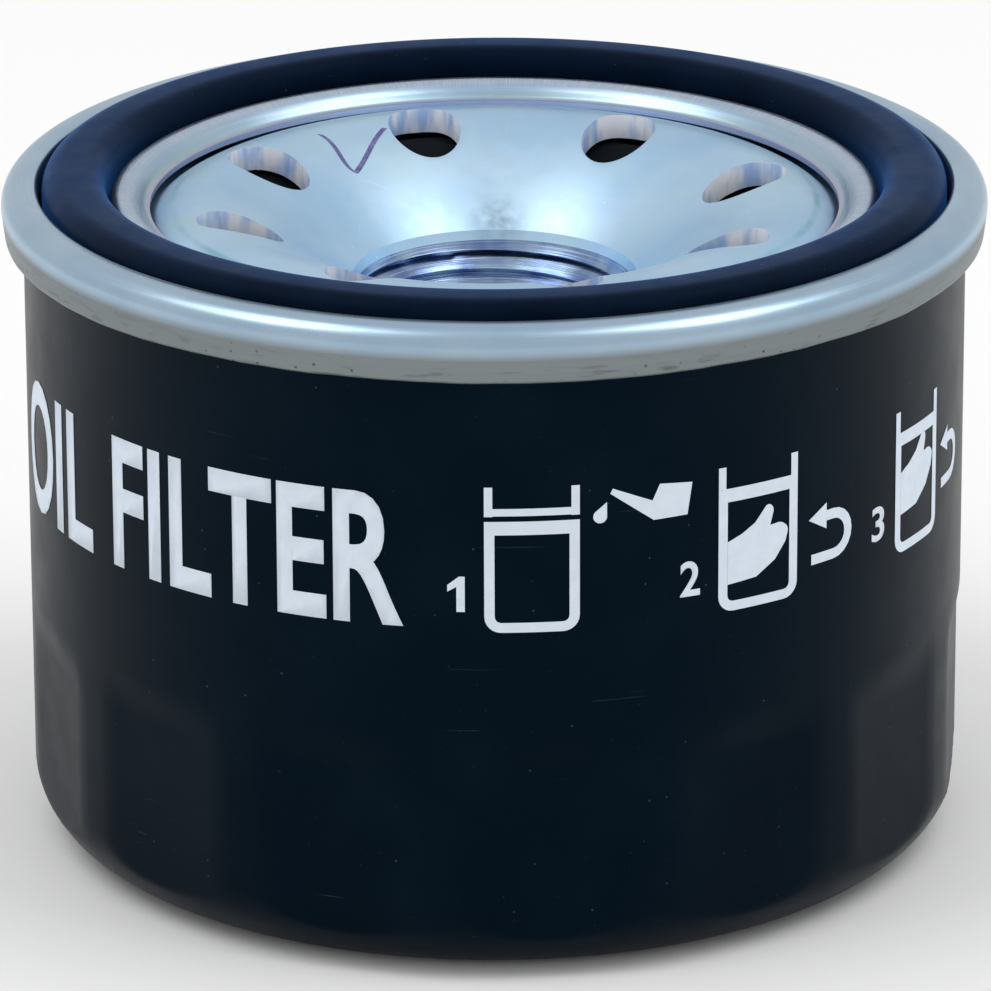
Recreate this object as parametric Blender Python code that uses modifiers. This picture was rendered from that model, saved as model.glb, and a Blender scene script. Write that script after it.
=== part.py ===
"""Spin-on engine oil filter, built piece by piece as it comes apart on a bench.

The filter stands on its closed end with the threaded end up. The origin is the centre of the
flat base, +Z runs along the axis towards the engine, and every length below is in millimetres
times MM, so the model is in metres.
"""

import math

import bmesh
import bpy
from mathutils import Matrix, Vector

MM = 0.001
FIT = 0.3 * MM                    # gap between faces that touch on the real filter

# Can: deep-drawn cup with wrench flats pressed into its closed end
CAN_RADIUS = 38.0 * MM
CAN_SHEET = 0.42 * MM
CORNER_RADIUS = 6.0 * MM
BASE_PANEL_RADIUS = 22.0 * MM
BASE_PANEL_RISE = 0.8 * MM
FLAT_COUNT = 14
FLAT_DEPTH = 0.55 * MM            # at the middle of a flat
FLAT_TOP = 17.0 * MM              # full depth up to here
FLAT_RUNOUT = 4.0 * MM            # then fades out over this height
HOOK_RADIUS = 0.2 * MM            # inside radius of the flange that is rolled into the seam
HOOK_LENGTH = 0.4 * MM

# Seaming lid: thin ring that is rolled over the can and holds the gasket in its groove
SEAM_TOP = 54.5 * MM              # height of the rolled seam above the base
SEAM_BULGE = 1.73 * MM            # how far the seam stands out from the can
SEAM_SKIRT = 4.4 * MM             # height of the seam
SEAM_ROLL = 1.75 * MM             # radius of the seam's outer shoulder
SKIRT_TAPER = 0.33 * MM
SKIRT_EDGE = 0.3 * MM
LID_SHEET = 0.45 * MM
LID_BEND = 0.45 * MM
GROOVE_DEPTH = 3.9 * MM           # from the top of the seam to the groove's floor
LIP_DROP = 0.75 * MM              # crest of the inner lip, below the top of the seam
LIP_WIDTH = 3.15 * MM
LIP_FALL = 1.5 * MM
LIP_BEND = 1.1 * MM               # where the lip turns down into the groove

# Sealing compound, run into the seam before it is rolled
COMPOUND_WIDTH = 0.9 * MM
COMPOUND_HEIGHT = 0.6 * MM
COMPOUND_HEADROOM = 0.55 * MM     # below the lid, where the seam's shoulder curves down

# Gasket
GASKET_WIDTH = 5.1 * MM
GASKET_PROUD = 1.1 * MM           # stands this far above the top of the seam
GASKET_SIDE_GAP = 0.4 * MM
GASKET_EDGE = 1.7 * MM

# Tapping plate: thick dished plate with the threaded neck and the inlet holes
PLATE_THICKNESS = 2.0 * MM
THREAD_MINOR_RADIUS = 9.2 * MM    # M20 x 1.5 internal thread
THREAD_LENGTH = 6.5 * MM
MOUTH_CONE = 1.8 * MM             # lead-in cone above the thread, along the radius
MOUTH_CONE_DEPTH = 2.4 * MM
MOUTH_WALL = 0.5 * MM             # steeper wall between the cone and the dish
MOUTH_WALL_DEPTH = 1.1 * MM
NECK_WALL = 2.8 * MM
NECK_FILLET_SLOPE = 1.4
CREST_RISE = 2.9 * MM             # crest of the dish above the plate's flat rim
DISH_DEPTH = 6.65 * MM            # from the crest down to the mouth
MOUTH_HANDLE = 0.42               # share of the dish's slant that each curve handle takes
CREST_HANDLE = 0.21
MOUTH_SLOPE = math.radians(43.0)
SHOULDER_RADIUS = 5.5 * MM
SHOULDER_ANGLE = 55.0             # degrees
SHOULDER_FOOT = 0.4 * MM
CREST_TO_LIP = 3.88 * MM
HOLE_COUNT = 8
HOLE_HALF_WIDTH = 2.97 * MM
HOLE_HALF_LENGTH = 3.53 * MM      # the dish stretches the holes along the radius
HOLE_TO_CREST = 2.72 * MM
HOLE_PHASE = math.radians(15.85)
PLATE_RIM_TO_GROOVE = 0.9 * MM

# Anti-drain-back valve: moulded rubber with a clamped collar and a flexing lip
DRAIN_RUBBER = 1.1 * MM
DRAIN_COLLAR_WALL = 1.7 * MM
DRAIN_FLANGE_WIDTH = 3.4 * MM
DRAIN_FLANGE_HEIGHT = 1.5 * MM
DRAIN_FILLET = 0.8 * MM
DRAIN_LIP_REACH = 1.9 * MM        # past the crest, outside the holes

# Element
CAP_SHEET = 0.5 * MM
CAP_RIM_HEIGHT = 3.9 * MM
CAP_BEND = 0.8 * MM
ELEMENT_SIDE_GAP = 3.28 * MM      # between the element and the can's wall
CAP_TO_NECK_END = 3.0 * MM        # the neck reaches this far below the upper cap's face
NECK_SLIDE_GAP = 0.6 * MM
CAP_FLANGE_LENGTH = 1.8 * MM
ADHESIVE_DEPTH = 1.7 * MM
ADHESIVE_RIM_GAP = 0.5 * MM
TUBE_RADIUS = 16.9 * MM
TUBE_WALL = 0.6 * MM
TUBE_ROWS = 4
TUBE_COLUMNS = 8
TUBE_HOLE_RADIUS = 2.0 * MM
PLEAT_COUNT = 48
PAPER = 0.5 * MM
PLEAT_RIM_GAP = 0.8 * MM
PLEAT_TUBE_GAP = 0.7 * MM
OUTER_FOLD_WIDTH = 1.0 * MM
INNER_FOLD_WIDTH = 0.7 * MM
CLIP_DEPTH = 5.0 * MM
CLIP_SHEET = 0.4 * MM
CLIP_SIDE_GAP = 0.45 * MM
CLIP_END_GAP = 0.5 * MM

# Bypass valve, carried by the lower end cap inside the centre tube
SEAT_RADIUS = 6.5 * MM
SEAT_LIP = 1.0 * MM
VALVE_RADIUS = 9.2 * MM
VALVE_SHEET = 0.7 * MM
SEAL_THICKNESS = 1.2 * MM
STUB_RADIUS = 2.9 * MM
GUIDE_RADIUS = 3.4 * MM
GUIDE_HEIGHT = 2.9 * MM
GUIDE_EDGE = 0.5 * MM
STUB_BELOW_SEAL = 0.4 * MM
CAGE_SHEET = 0.6 * MM
CAGE_HEIGHT = 14.2 * MM
CAGE_CROWN_RADIUS = 6.4 * MM
CAGE_HOLE_RADIUS = 2.5 * MM
CAGE_SHOULDER = 8.2 * MM
CAGE_FLANGE_WIDTH = 3.0 * MM
CAGE_VALVE_GAP = 1.0 * MM
CAGE_WINDOWS = 4
CAGE_WINDOW_WIDTH = 7.0 * MM
CAGE_WINDOW_SILL = 1.5 * MM       # wall left between the flange and a window
CAGE_WINDOW_ABOVE_SHOULDER = 1.5 * MM
BYPASS_WIRE = 0.9 * MM
BYPASS_COIL_RADIUS = 4.6 * MM
BYPASS_TURNS = 5

# Element spring, between the base panel and the lower end cap
SPRING_WIRE = 1.5 * MM
SPRING_COIL_RADIUS = 15.5 * MM
SPRING_HEIGHT = 6.8 * MM
SPRING_TURNS = 2.5

# Facets around the axis
CAN_STEPS = 4 * FLAT_COUNT
OUTER_STEPS = 40
INNER_STEPS = 32
SMALL_STEPS = 24
WIRE_POINTS = 12

# Radii that follow from the values above
SEAM_RADIUS = CAN_RADIUS + SEAM_BULGE
LID_WALL_RADIUS = CAN_RADIUS - CAN_SHEET - FIT - LID_SHEET
GASKET_OUTER = LID_WALL_RADIUS - GASKET_SIDE_GAP
GASKET_INNER = GASKET_OUTER - GASKET_WIDTH
LIP_OUTER = GASKET_INNER - GASKET_SIDE_GAP
LIP_END_RADIUS = LIP_OUTER - LIP_WIDTH
CREST_RADIUS = LIP_END_RADIUS - CREST_TO_LIP
HOLE_CIRCLE = CREST_RADIUS - HOLE_TO_CREST
MOUTH_RADIUS = THREAD_MINOR_RADIUS + MOUTH_CONE + MOUTH_WALL
NECK_RADIUS = THREAD_MINOR_RADIUS + NECK_WALL
PLATE_RIM_RADIUS = LID_WALL_RADIUS - PLATE_RIM_TO_GROOVE
COLLAR_INNER = NECK_RADIUS + FIT
COLLAR_OUTER = COLLAR_INNER + DRAIN_COLLAR_WALL
CAP_RADIUS = CAN_RADIUS - CAN_SHEET - ELEMENT_SIDE_GAP
CAP_HOLE_RADIUS = NECK_RADIUS + NECK_SLIDE_GAP
PLEAT_OUTER = CAP_RADIUS - CAP_SHEET - PLEAT_RIM_GAP
PLEAT_INNER = TUBE_RADIUS + PLEAT_TUBE_GAP
CAGE_RADIUS = VALVE_RADIUS + CAGE_VALVE_GAP + CAGE_SHEET

# Heights that follow from the values above
COMPOUND_TOP = SEAM_TOP - LID_SHEET - COMPOUND_HEADROOM
COMPOUND_BOTTOM = COMPOUND_TOP - COMPOUND_HEIGHT
HOOK_CENTER = COMPOUND_BOTTOM - 2 * FIT - CAN_SHEET - HOOK_RADIUS
GROOVE_FLOOR = SEAM_TOP - GROOVE_DEPTH
LIP_CREST = SEAM_TOP - LIP_DROP
LIP_END = LIP_CREST - LIP_FALL
PLATE_RIM_TOP = GROOVE_FLOOR - LID_SHEET - FIT
CREST_TOP = PLATE_RIM_TOP + CREST_RISE
MOUTH_TOP = CREST_TOP - DISH_DEPTH
THREAD_TOP = MOUTH_TOP - MOUTH_WALL_DEPTH - MOUTH_CONE_DEPTH
NECK_END = THREAD_TOP - THREAD_LENGTH
UPPER_CAP_FACE = NECK_END + CAP_TO_NECK_END
UPPER_CAP_TOP = UPPER_CAP_FACE + CAP_SHEET
PANEL_INSIDE = BASE_PANEL_RISE + CAN_SHEET
LOWER_CAP_BOTTOM = PANEL_INSIDE + FIT + SPRING_HEIGHT + FIT
LOWER_CAP_FACE = LOWER_CAP_BOTTOM + CAP_SHEET
SEAT_TOP = LOWER_CAP_FACE + SEAT_LIP
SEAL_BOTTOM = SEAT_TOP + FIT
VALVE_BOTTOM = SEAL_BOTTOM + SEAL_THICKNESS + FIT
VALVE_TOP = VALVE_BOTTOM + VALVE_SHEET
CAGE_BOTTOM = LOWER_CAP_FACE + FIT
CAGE_TOP = CAGE_BOTTOM + CAGE_HEIGHT

COLORS = {
    "can": ((0.012, 0.013, 0.015), 0.38, 0.0),
    "zinc": ((0.56, 0.60, 0.62), 0.34, 1.0),
    "plate_zinc": ((0.60, 0.68, 0.72), 0.30, 1.0),
    "gasket": ((0.020, 0.024, 0.032), 0.62, 0.0),
    "compound": ((0.20, 0.22, 0.24), 0.70, 0.0),
    "drain_rubber": ((0.030, 0.032, 0.034), 0.66, 0.0),
    "cap_steel": ((0.55, 0.56, 0.57), 0.40, 1.0),
    "adhesive": ((0.42, 0.12, 0.06), 0.55, 0.0),
    "paper": ((0.72, 0.55, 0.28), 0.90, 0.0),
    "spring_steel": ((0.42, 0.43, 0.45), 0.32, 1.0),
    "seal_rubber": ((0.025, 0.025, 0.028), 0.60, 0.0),
}


def clear_scene():
    for obj in list(bpy.data.objects):
        bpy.data.objects.remove(obj, do_unlink=True)


def make_collection(name):
    collection = bpy.data.collections.new(name)
    bpy.context.scene.collection.children.link(collection)
    return collection


def make_material(name):
    color, roughness, metallic = COLORS[name]
    material = bpy.data.materials.new(name)
    material.use_nodes = True
    shader = material.node_tree.nodes["Principled BSDF"]
    shader.inputs["Base Color"].default_value = (*color, 1.0)
    shader.inputs["Roughness"].default_value = roughness
    shader.inputs["Metallic"].default_value = metallic
    return material


def add_object(name, mesh, material):
    obj = bpy.data.objects.new(name, mesh)
    PARTS.objects.link(obj)
    mesh.materials.append(MATERIALS[material])
    return obj


def add_cutter(name, mesh):
    cutter = bpy.data.objects.new(name, mesh)
    CUTTERS.objects.link(cutter)
    cutter.display_type = "WIRE"
    cutter.hide_render = True
    return cutter


def cut(obj, cutter):
    modifier = obj.modifiers.new(cutter.name, "BOOLEAN")
    modifier.operation = "DIFFERENCE"
    modifier.solver = "EXACT"
    modifier.object = cutter


def arc(center_r, center_z, radius, start, end, pieces):
    """Points on a circle in the profile plane, angles in degrees from +X towards +Z."""
    points = []
    for i in range(pieces + 1):
        angle = math.radians(start + (end - start) * i / pieces)
        points.append((center_r + radius * math.cos(angle), center_z + radius * math.sin(angle)))
    return points


def profile_mesh(name, points, closed):
    mesh = bpy.data.meshes.new(name)
    count = len(points)
    edges = [(i, i + 1) for i in range(count - 1)]
    if closed:
        edges.append((count - 1, 0))
    mesh.from_pydata([(r, 0.0, z) for r, z in points], edges, [])
    return mesh


def add_screw(obj, steps):
    screw = obj.modifiers.new("turn", "SCREW")
    screw.axis = "Z"
    screw.angle = math.tau
    screw.steps = steps
    screw.render_steps = steps
    screw.use_merge_vertices = True
    screw.merge_threshold = 0.00001
    screw.use_smooth_shade = True


def turned_solid(name, loop, steps, material):
    """Turn a closed loop. It runs outward along its top and down its outer side."""
    obj = add_object(name, profile_mesh(name, loop, True), material)
    add_screw(obj, steps)
    return obj


def turned_sheet(name, path, sheet, steps, material):
    """Turn an open path that is the sheet's outer face. The thickness goes to its other side."""
    obj = add_object(name, profile_mesh(name, path, False), material)
    add_screw(obj, steps)
    add_solidify(obj, sheet, -1.0)
    return obj


def add_solidify(obj, sheet, offset):
    solidify = obj.modifiers.new("sheet", "SOLIDIFY")
    solidify.thickness = sheet
    solidify.offset = offset
    solidify.use_even_offset = True


def offset_path(points, distance):
    """The path moved sideways, to its right, with mitred corners."""
    moved = []
    for i, point in enumerate(points):
        here = Vector(point)
        before = Vector(points[max(i - 1, 0)])
        after = Vector(points[min(i + 1, len(points) - 1)])
        into = (here - before).normalized() if i > 0 else (after - here).normalized()
        out = (after - here).normalized() if i < len(points) - 1 else into
        side = Vector((into.y, -into.x)) + Vector((out.y, -out.x))
        side.normalize()
        stretch = 1.0 / max(side.dot(Vector((into.y, -into.x))), 0.5)
        moved.append(tuple(here + side * distance * stretch))
    return moved


def ring_loop(inner, outer, bottom, top):
    return [(inner, top), (outer, top), (outer, bottom), (inner, bottom)]


# Housing

def press_flats(mesh):
    """Move the wall in to each flat's chord. The flats fade out above FLAT_TOP."""
    pitch = math.tau / FLAT_COUNT
    first_corner = pitch / 4
    for vertex in mesh.vertices:
        x, y, z = vertex.co
        if z > FLAT_TOP + FLAT_RUNOUT:
            continue
        radius = math.hypot(x, y)
        fade = min((FLAT_TOP + FLAT_RUNOUT - z) / FLAT_RUNOUT, 1.0)
        from_middle = (math.atan2(y, x) - first_corner) % pitch - pitch / 2
        chord = (CAN_RADIUS - FLAT_DEPTH * fade) / math.cos(from_middle)
        if radius > chord:
            vertex.co.x = x * chord / radius
            vertex.co.y = y * chord / radius


def build_can():
    path = [(CAN_RADIUS + 2 * HOOK_RADIUS, HOOK_CENTER - HOOK_LENGTH)]
    path += arc(CAN_RADIUS + HOOK_RADIUS, HOOK_CENTER, HOOK_RADIUS, 0, 180, 2)
    path += [(CAN_RADIUS, FLAT_TOP + FLAT_RUNOUT), (CAN_RADIUS, FLAT_TOP)]
    corner = CAN_RADIUS - CORNER_RADIUS
    path += arc(corner, CORNER_RADIUS, CORNER_RADIUS, 0, -90, 4)
    path += [(BASE_PANEL_RADIUS, 0.0), (BASE_PANEL_RADIUS - BASE_PANEL_RISE, BASE_PANEL_RISE)]
    path += [(0.0, BASE_PANEL_RISE)]
    turned = turned_sheet("can_turned", path, CAN_SHEET, CAN_STEPS, "can")
    turned.modifiers.remove(turned.modifiers["sheet"])
    graph = bpy.context.evaluated_depsgraph_get()
    mesh = bpy.data.meshes.new_from_object(turned.evaluated_get(graph))
    bpy.data.objects.remove(turned)
    press_flats(mesh)
    can = bpy.data.objects.new("can", mesh)
    PARTS.objects.link(can)
    add_solidify(can, CAN_SHEET, -1.0)


def build_lid():
    skirt_end = SEAM_TOP - SEAM_SKIRT
    skirt_radius = SEAM_RADIUS - SKIRT_TAPER
    bend = LID_BEND
    wall = LID_WALL_RADIUS
    path = [(LIP_END_RADIUS, LIP_END), (LIP_END_RADIUS + 0.12 * LIP_WIDTH, LIP_END)]
    path += [(LIP_END_RADIUS + 0.37 * LIP_WIDTH, LIP_END + 0.78 * LIP_FALL)]
    path += arc(LIP_OUTER - LIP_BEND, LIP_CREST - LIP_BEND, LIP_BEND, 90, 0, 3)
    path += arc(LIP_OUTER + bend, GROOVE_FLOOR + bend, bend, 180, 270, 1)
    path += arc(wall - bend, GROOVE_FLOOR + bend, bend, 270, 360, 1)
    path += arc(wall + bend, SEAM_TOP - bend, bend, 180, 90, 2)
    path += arc(SEAM_RADIUS - SEAM_ROLL, SEAM_TOP - SEAM_ROLL, SEAM_ROLL, 90, 0, 3)
    path += [(skirt_radius, skirt_end + SKIRT_EDGE), (skirt_radius - SKIRT_EDGE, skirt_end)]
    path += [(CAN_RADIUS + LID_SHEET, skirt_end)]
    turned_sheet("seaming_lid", path, LID_SHEET, OUTER_STEPS, "zinc")


def build_gasket():
    bottom = GROOVE_FLOOR + FIT
    top = SEAM_TOP + GASKET_PROUD
    edge = GASKET_EDGE
    loop = arc(GASKET_INNER + edge, top - edge, edge, 180, 90, 3)
    loop += arc(GASKET_OUTER - edge, top - edge, edge, 90, 0, 3)
    loop += [(GASKET_OUTER, bottom + 0.5 * edge), (GASKET_OUTER - 0.5 * edge, bottom)]
    loop += [(GASKET_INNER + 0.5 * edge, bottom), (GASKET_INNER, bottom + 0.5 * edge)]
    turned_solid("sealing_gasket", loop, OUTER_STEPS, "gasket")


def build_compound():
    middle = CAN_RADIUS + HOOK_RADIUS
    half = COMPOUND_WIDTH / 2
    loop = ring_loop(middle - half, middle + half, COMPOUND_BOTTOM, COMPOUND_TOP)
    turned_solid("seam_compound", loop, OUTER_STEPS, "compound")


def dish_path():
    """Upper face of the tapping plate, from the mouth out to its rim."""
    mouth = Vector((MOUTH_RADIUS, MOUTH_TOP))
    crest = Vector((CREST_RADIUS, CREST_TOP))
    slant = (crest - mouth).length
    rise = Vector((math.cos(MOUTH_SLOPE), math.sin(MOUTH_SLOPE)))
    leave = mouth + MOUTH_HANDLE * slant * rise
    arrive = crest - CREST_HANDLE * slant * Vector((1.0, 0.0))
    points = []
    pieces = 5
    for i in range(pieces + 1):
        t = i / pieces
        s = 1 - t
        point = s**3 * mouth + 3 * s * s * t * leave + 3 * s * t * t * arrive + t**3 * crest
        points.append(tuple(point))
    shoulder = arc(CREST_RADIUS, CREST_TOP - SHOULDER_RADIUS, SHOULDER_RADIUS,
                   90, 90 - SHOULDER_ANGLE, 3)
    points += shoulder[1:]
    points += [(CREST_RADIUS + SHOULDER_RADIUS + SHOULDER_FOOT, PLATE_RIM_TOP)]
    return points


def build_plate():
    upper = dish_path()
    lower = offset_path(upper, PLATE_THICKNESS)
    rim_bottom = PLATE_RIM_TOP - PLATE_THICKNESS
    loop = [(THREAD_MINOR_RADIUS, NECK_END), (THREAD_MINOR_RADIUS, THREAD_TOP)]
    loop += [(THREAD_MINOR_RADIUS + MOUTH_CONE, THREAD_TOP + MOUTH_CONE_DEPTH)]
    loop += upper
    loop += [(PLATE_RIM_RADIUS, PLATE_RIM_TOP), (PLATE_RIM_RADIUS, rim_bottom)]
    loop += reversed([point for point in lower if point[0] > NECK_RADIUS + FIT])
    root_r, root_z = loop[-1]
    loop += [(NECK_RADIUS, root_z - NECK_FILLET_SLOPE * (root_r - NECK_RADIUS))]
    loop += [(NECK_RADIUS, NECK_END)]
    plate = turned_solid("tapping_plate", loop, OUTER_STEPS, "plate_zinc")
    cut(plate, add_cutter("inlet_holes", inlet_hole_mesh()))


def inlet_hole_mesh():
    mesh = bpy.data.meshes.new("inlet_holes")
    shape = bmesh.new()
    height = 4 * DISH_DEPTH
    for i in range(HOLE_COUNT):
        turn = Matrix.Rotation(HOLE_PHASE + i * math.tau / HOLE_COUNT, 4, "Z")
        place = Matrix.Translation((HOLE_CIRCLE, 0.0, CREST_TOP))
        oval = Matrix.Diagonal((HOLE_HALF_LENGTH, HOLE_HALF_WIDTH, height, 1.0))
        bmesh.ops.create_cone(shape, cap_ends=True, segments=12, radius1=1.0, radius2=1.0,
                              depth=1.0, matrix=turn @ place @ oval)
    shape.to_mesh(mesh)
    shape.free()
    return mesh


# Anti-drain-back valve

def build_drain_valve():
    """Collar around the neck, flange on the upper cap, and a lip that follows the plate."""
    under = offset_path(dish_path(), PLATE_THICKNESS + FIT)
    inside = COLLAR_OUTER + FIT
    outside = CREST_RADIUS + DRAIN_LIP_REACH
    upper = [point for point in under if inside < point[0] < outside]
    lower = offset_path(upper, DRAIN_RUBBER)
    flange_bottom = UPPER_CAP_TOP + FIT
    flange_top = flange_bottom + DRAIN_FLANGE_HEIGHT
    root_top = upper[0][1] - NECK_FILLET_SLOPE * (upper[0][0] - COLLAR_INNER)
    loop = [(COLLAR_INNER, flange_bottom), (COLLAR_INNER, root_top)]
    loop += upper
    loop += list(reversed(lower))
    loop += [(COLLAR_OUTER, flange_top + DRAIN_FILLET)]
    loop += [(COLLAR_OUTER, flange_top), (COLLAR_INNER + DRAIN_FLANGE_WIDTH, flange_top)]
    loop += [(COLLAR_INNER + DRAIN_FLANGE_WIDTH, flange_bottom)]
    turned_solid("anti_drain_valve", loop, INNER_STEPS, "drain_rubber")


# Element

def build_upper_cap():
    flange_end = UPPER_CAP_FACE - CAP_FLANGE_LENGTH
    rim_end = UPPER_CAP_TOP - CAP_RIM_HEIGHT
    bend = CAP_BEND
    path = [(CAP_HOLE_RADIUS, flange_end), (CAP_HOLE_RADIUS, UPPER_CAP_TOP - bend)]
    path += [(CAP_HOLE_RADIUS + bend, UPPER_CAP_TOP)]
    path += arc(CAP_RADIUS - bend, UPPER_CAP_TOP - bend, bend, 90, 0, 2)
    path += [(CAP_RADIUS, rim_end)]
    turned_sheet("upper_end_cap", path, CAP_SHEET, INNER_STEPS, "cap_steel")


def build_lower_cap():
    rim_end = LOWER_CAP_BOTTOM + CAP_RIM_HEIGHT
    bend = CAP_BEND
    path = [(CAP_RADIUS, rim_end)]
    path += arc(CAP_RADIUS - bend, LOWER_CAP_BOTTOM + bend, bend, 0, -90, 2)
    path += [(SEAT_RADIUS + bend, LOWER_CAP_BOTTOM), (SEAT_RADIUS, LOWER_CAP_BOTTOM + bend)]
    path += [(SEAT_RADIUS, SEAT_TOP)]
    turned_sheet("lower_end_cap", path, CAP_SHEET, INNER_STEPS, "cap_steel")


def build_adhesive(name, bottom):
    inner = TUBE_RADIUS + FIT
    outer = CAP_RADIUS - CAP_SHEET - ADHESIVE_RIM_GAP
    turned_solid(name, ring_loop(inner, outer, bottom, bottom + ADHESIVE_DEPTH), INNER_STEPS,
                 "adhesive")


def pleat_points():
    """One turn of the folded paper's middle line, with blunt folds."""
    outer = PLEAT_OUTER - PAPER / 2
    inner = PLEAT_INNER + PAPER / 2
    half_outer = OUTER_FOLD_WIDTH / outer / 2
    half_inner = INNER_FOLD_WIDTH / inner / 2
    pitch = math.tau / PLEAT_COUNT
    points = []
    for i in range(PLEAT_COUNT):
        middle = i * pitch
        corners = [(outer, middle - half_outer), (outer, middle + half_outer)]
        corners += [(inner, middle + pitch / 2 - half_inner)]
        corners += [(inner, middle + pitch / 2 + half_inner)]
        for radius, angle in corners:
            points.append((radius * math.cos(angle), radius * math.sin(angle)))
    return points


def wall_mesh(name, points, bottom, top, closed):
    """Upright wall over a line in plan. Its faces look to the line's right."""
    mesh = bpy.data.meshes.new(name)
    shape = bmesh.new()
    low = [shape.verts.new((x, y, bottom)) for x, y in points]
    high = [shape.verts.new((x, y, top)) for x, y in points]
    count = len(points)
    for i in range(count if closed else count - 1):
        j = (i + 1) % count
        shape.faces.new((low[i], low[j], high[j], high[i]))
    shape.to_mesh(mesh)
    shape.free()
    return mesh


def build_media():
    bottom = LOWER_CAP_FACE + FIT + ADHESIVE_DEPTH + FIT
    top = UPPER_CAP_FACE - FIT - ADHESIVE_DEPTH - FIT
    mesh = wall_mesh("pleated_media", pleat_points(), bottom, top, True)
    media = add_object("pleated_media", mesh, "paper")
    add_solidify(media, PAPER, 0.0)


def build_clip():
    """Folded strip that pinches the two ends of the paper together at one outer fold."""
    half = OUTER_FOLD_WIDTH / 2 + PAPER / 2 + CLIP_SIDE_GAP
    outside = PLEAT_OUTER + FIT
    inside = outside - CLIP_DEPTH
    bottom = LOWER_CAP_BOTTOM + CAP_RIM_HEIGHT + CLIP_END_GAP
    top = UPPER_CAP_TOP - CAP_RIM_HEIGHT - CLIP_END_GAP
    line = [(inside, -half), (outside, -half), (outside, half), (inside, half)]
    clip = add_object("pleat_seam_clip", wall_mesh("pleat_seam_clip", line, bottom, top, False),
                      "cap_steel")
    add_solidify(clip, CLIP_SHEET, 1.0)


def build_tube():
    bottom = LOWER_CAP_FACE + FIT
    top = UPPER_CAP_FACE - FIT
    loop = ring_loop(TUBE_RADIUS - TUBE_WALL, TUBE_RADIUS, bottom, top)
    tube = turned_solid("centre_tube", loop, INNER_STEPS, "cap_steel")
    cut(tube, add_cutter("tube_holes", tube_hole_mesh(bottom, top)))


def tube_hole_mesh(bottom, top):
    mesh = bpy.data.meshes.new("tube_holes")
    shape = bmesh.new()
    row_pitch = (top - bottom) / TUBE_ROWS
    for row in range(TUBE_ROWS):
        height = bottom + (row + 0.5) * row_pitch
        for column in range(TUBE_COLUMNS):
            angle = (column + 0.5 * (row % 2)) * math.tau / TUBE_COLUMNS
            turn = Matrix.Rotation(angle, 4, "Z")
            place = Matrix.Translation((TUBE_RADIUS, 0.0, height))
            tip = Matrix.Rotation(math.pi / 2, 4, "Y")
            bmesh.ops.create_cone(shape, cap_ends=True, segments=8, radius1=TUBE_HOLE_RADIUS,
                                  radius2=TUBE_HOLE_RADIUS, depth=8 * TUBE_WALL,
                                  matrix=turn @ place @ tip)
    shape.to_mesh(mesh)
    shape.free()
    return mesh


# Bypass valve

def build_cage():
    """Cage that holds the bypass spring, with windows for the oil."""
    shoulder = CAGE_BOTTOM + CAGE_SHOULDER
    path = [(CAGE_HOLE_RADIUS, CAGE_TOP), (CAGE_CROWN_RADIUS, CAGE_TOP)]
    path += [(CAGE_RADIUS, shoulder), (CAGE_RADIUS, CAGE_BOTTOM + CAGE_SHEET)]
    path += [(CAGE_RADIUS + CAGE_FLANGE_WIDTH, CAGE_BOTTOM + CAGE_SHEET)]
    cage = turned_sheet("bypass_cage", path, CAGE_SHEET, SMALL_STEPS, "cap_steel")
    cut(cage, add_cutter("cage_windows", cage_window_mesh(shoulder)))


def cage_window_mesh(shoulder):
    mesh = bpy.data.meshes.new("cage_windows")
    shape = bmesh.new()
    bottom = CAGE_BOTTOM + CAGE_SHEET + CAGE_WINDOW_SILL
    height = shoulder + CAGE_WINDOW_ABOVE_SHOULDER - bottom
    reach = CAGE_RADIUS - CAGE_CROWN_RADIUS + 2 * CAGE_SHEET
    for i in range(CAGE_WINDOWS):
        turn = Matrix.Rotation((i + 0.5) * math.tau / CAGE_WINDOWS, 4, "Z")
        place = Matrix.Translation((CAGE_RADIUS + CAGE_SHEET, 0.0, bottom + height / 2))
        size = Matrix.Diagonal((reach, CAGE_WINDOW_WIDTH, height, 1.0))
        bmesh.ops.create_cube(shape, size=1.0, matrix=turn @ place @ size)
    shape.to_mesh(mesh)
    shape.free()
    return mesh


def build_valve_plate():
    """Pressed disc with a stub that holds the seal and a boss that centres the spring."""
    stub_end = SEAL_BOTTOM - STUB_BELOW_SEAL
    guide_top = VALVE_TOP + GUIDE_HEIGHT
    loop = [(0.0, guide_top), (GUIDE_RADIUS - GUIDE_EDGE, guide_top)]
    loop += [(GUIDE_RADIUS, guide_top - GUIDE_EDGE), (GUIDE_RADIUS, VALVE_TOP)]
    loop += [(VALVE_RADIUS, VALVE_TOP), (VALVE_RADIUS, VALVE_BOTTOM), (STUB_RADIUS, VALVE_BOTTOM)]
    loop += [(STUB_RADIUS, stub_end), (0.0, stub_end)]
    obj = add_object("bypass_valve_plate", profile_mesh("bypass_valve_plate", loop, False),
                     "cap_steel")
    add_screw(obj, SMALL_STEPS)


def build_seal():
    top = SEAL_BOTTOM + SEAL_THICKNESS
    turned_solid("bypass_seal", ring_loop(STUB_RADIUS + FIT, VALVE_RADIUS, SEAL_BOTTOM, top),
                 SMALL_STEPS, "seal_rubber")


# Springs

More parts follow.
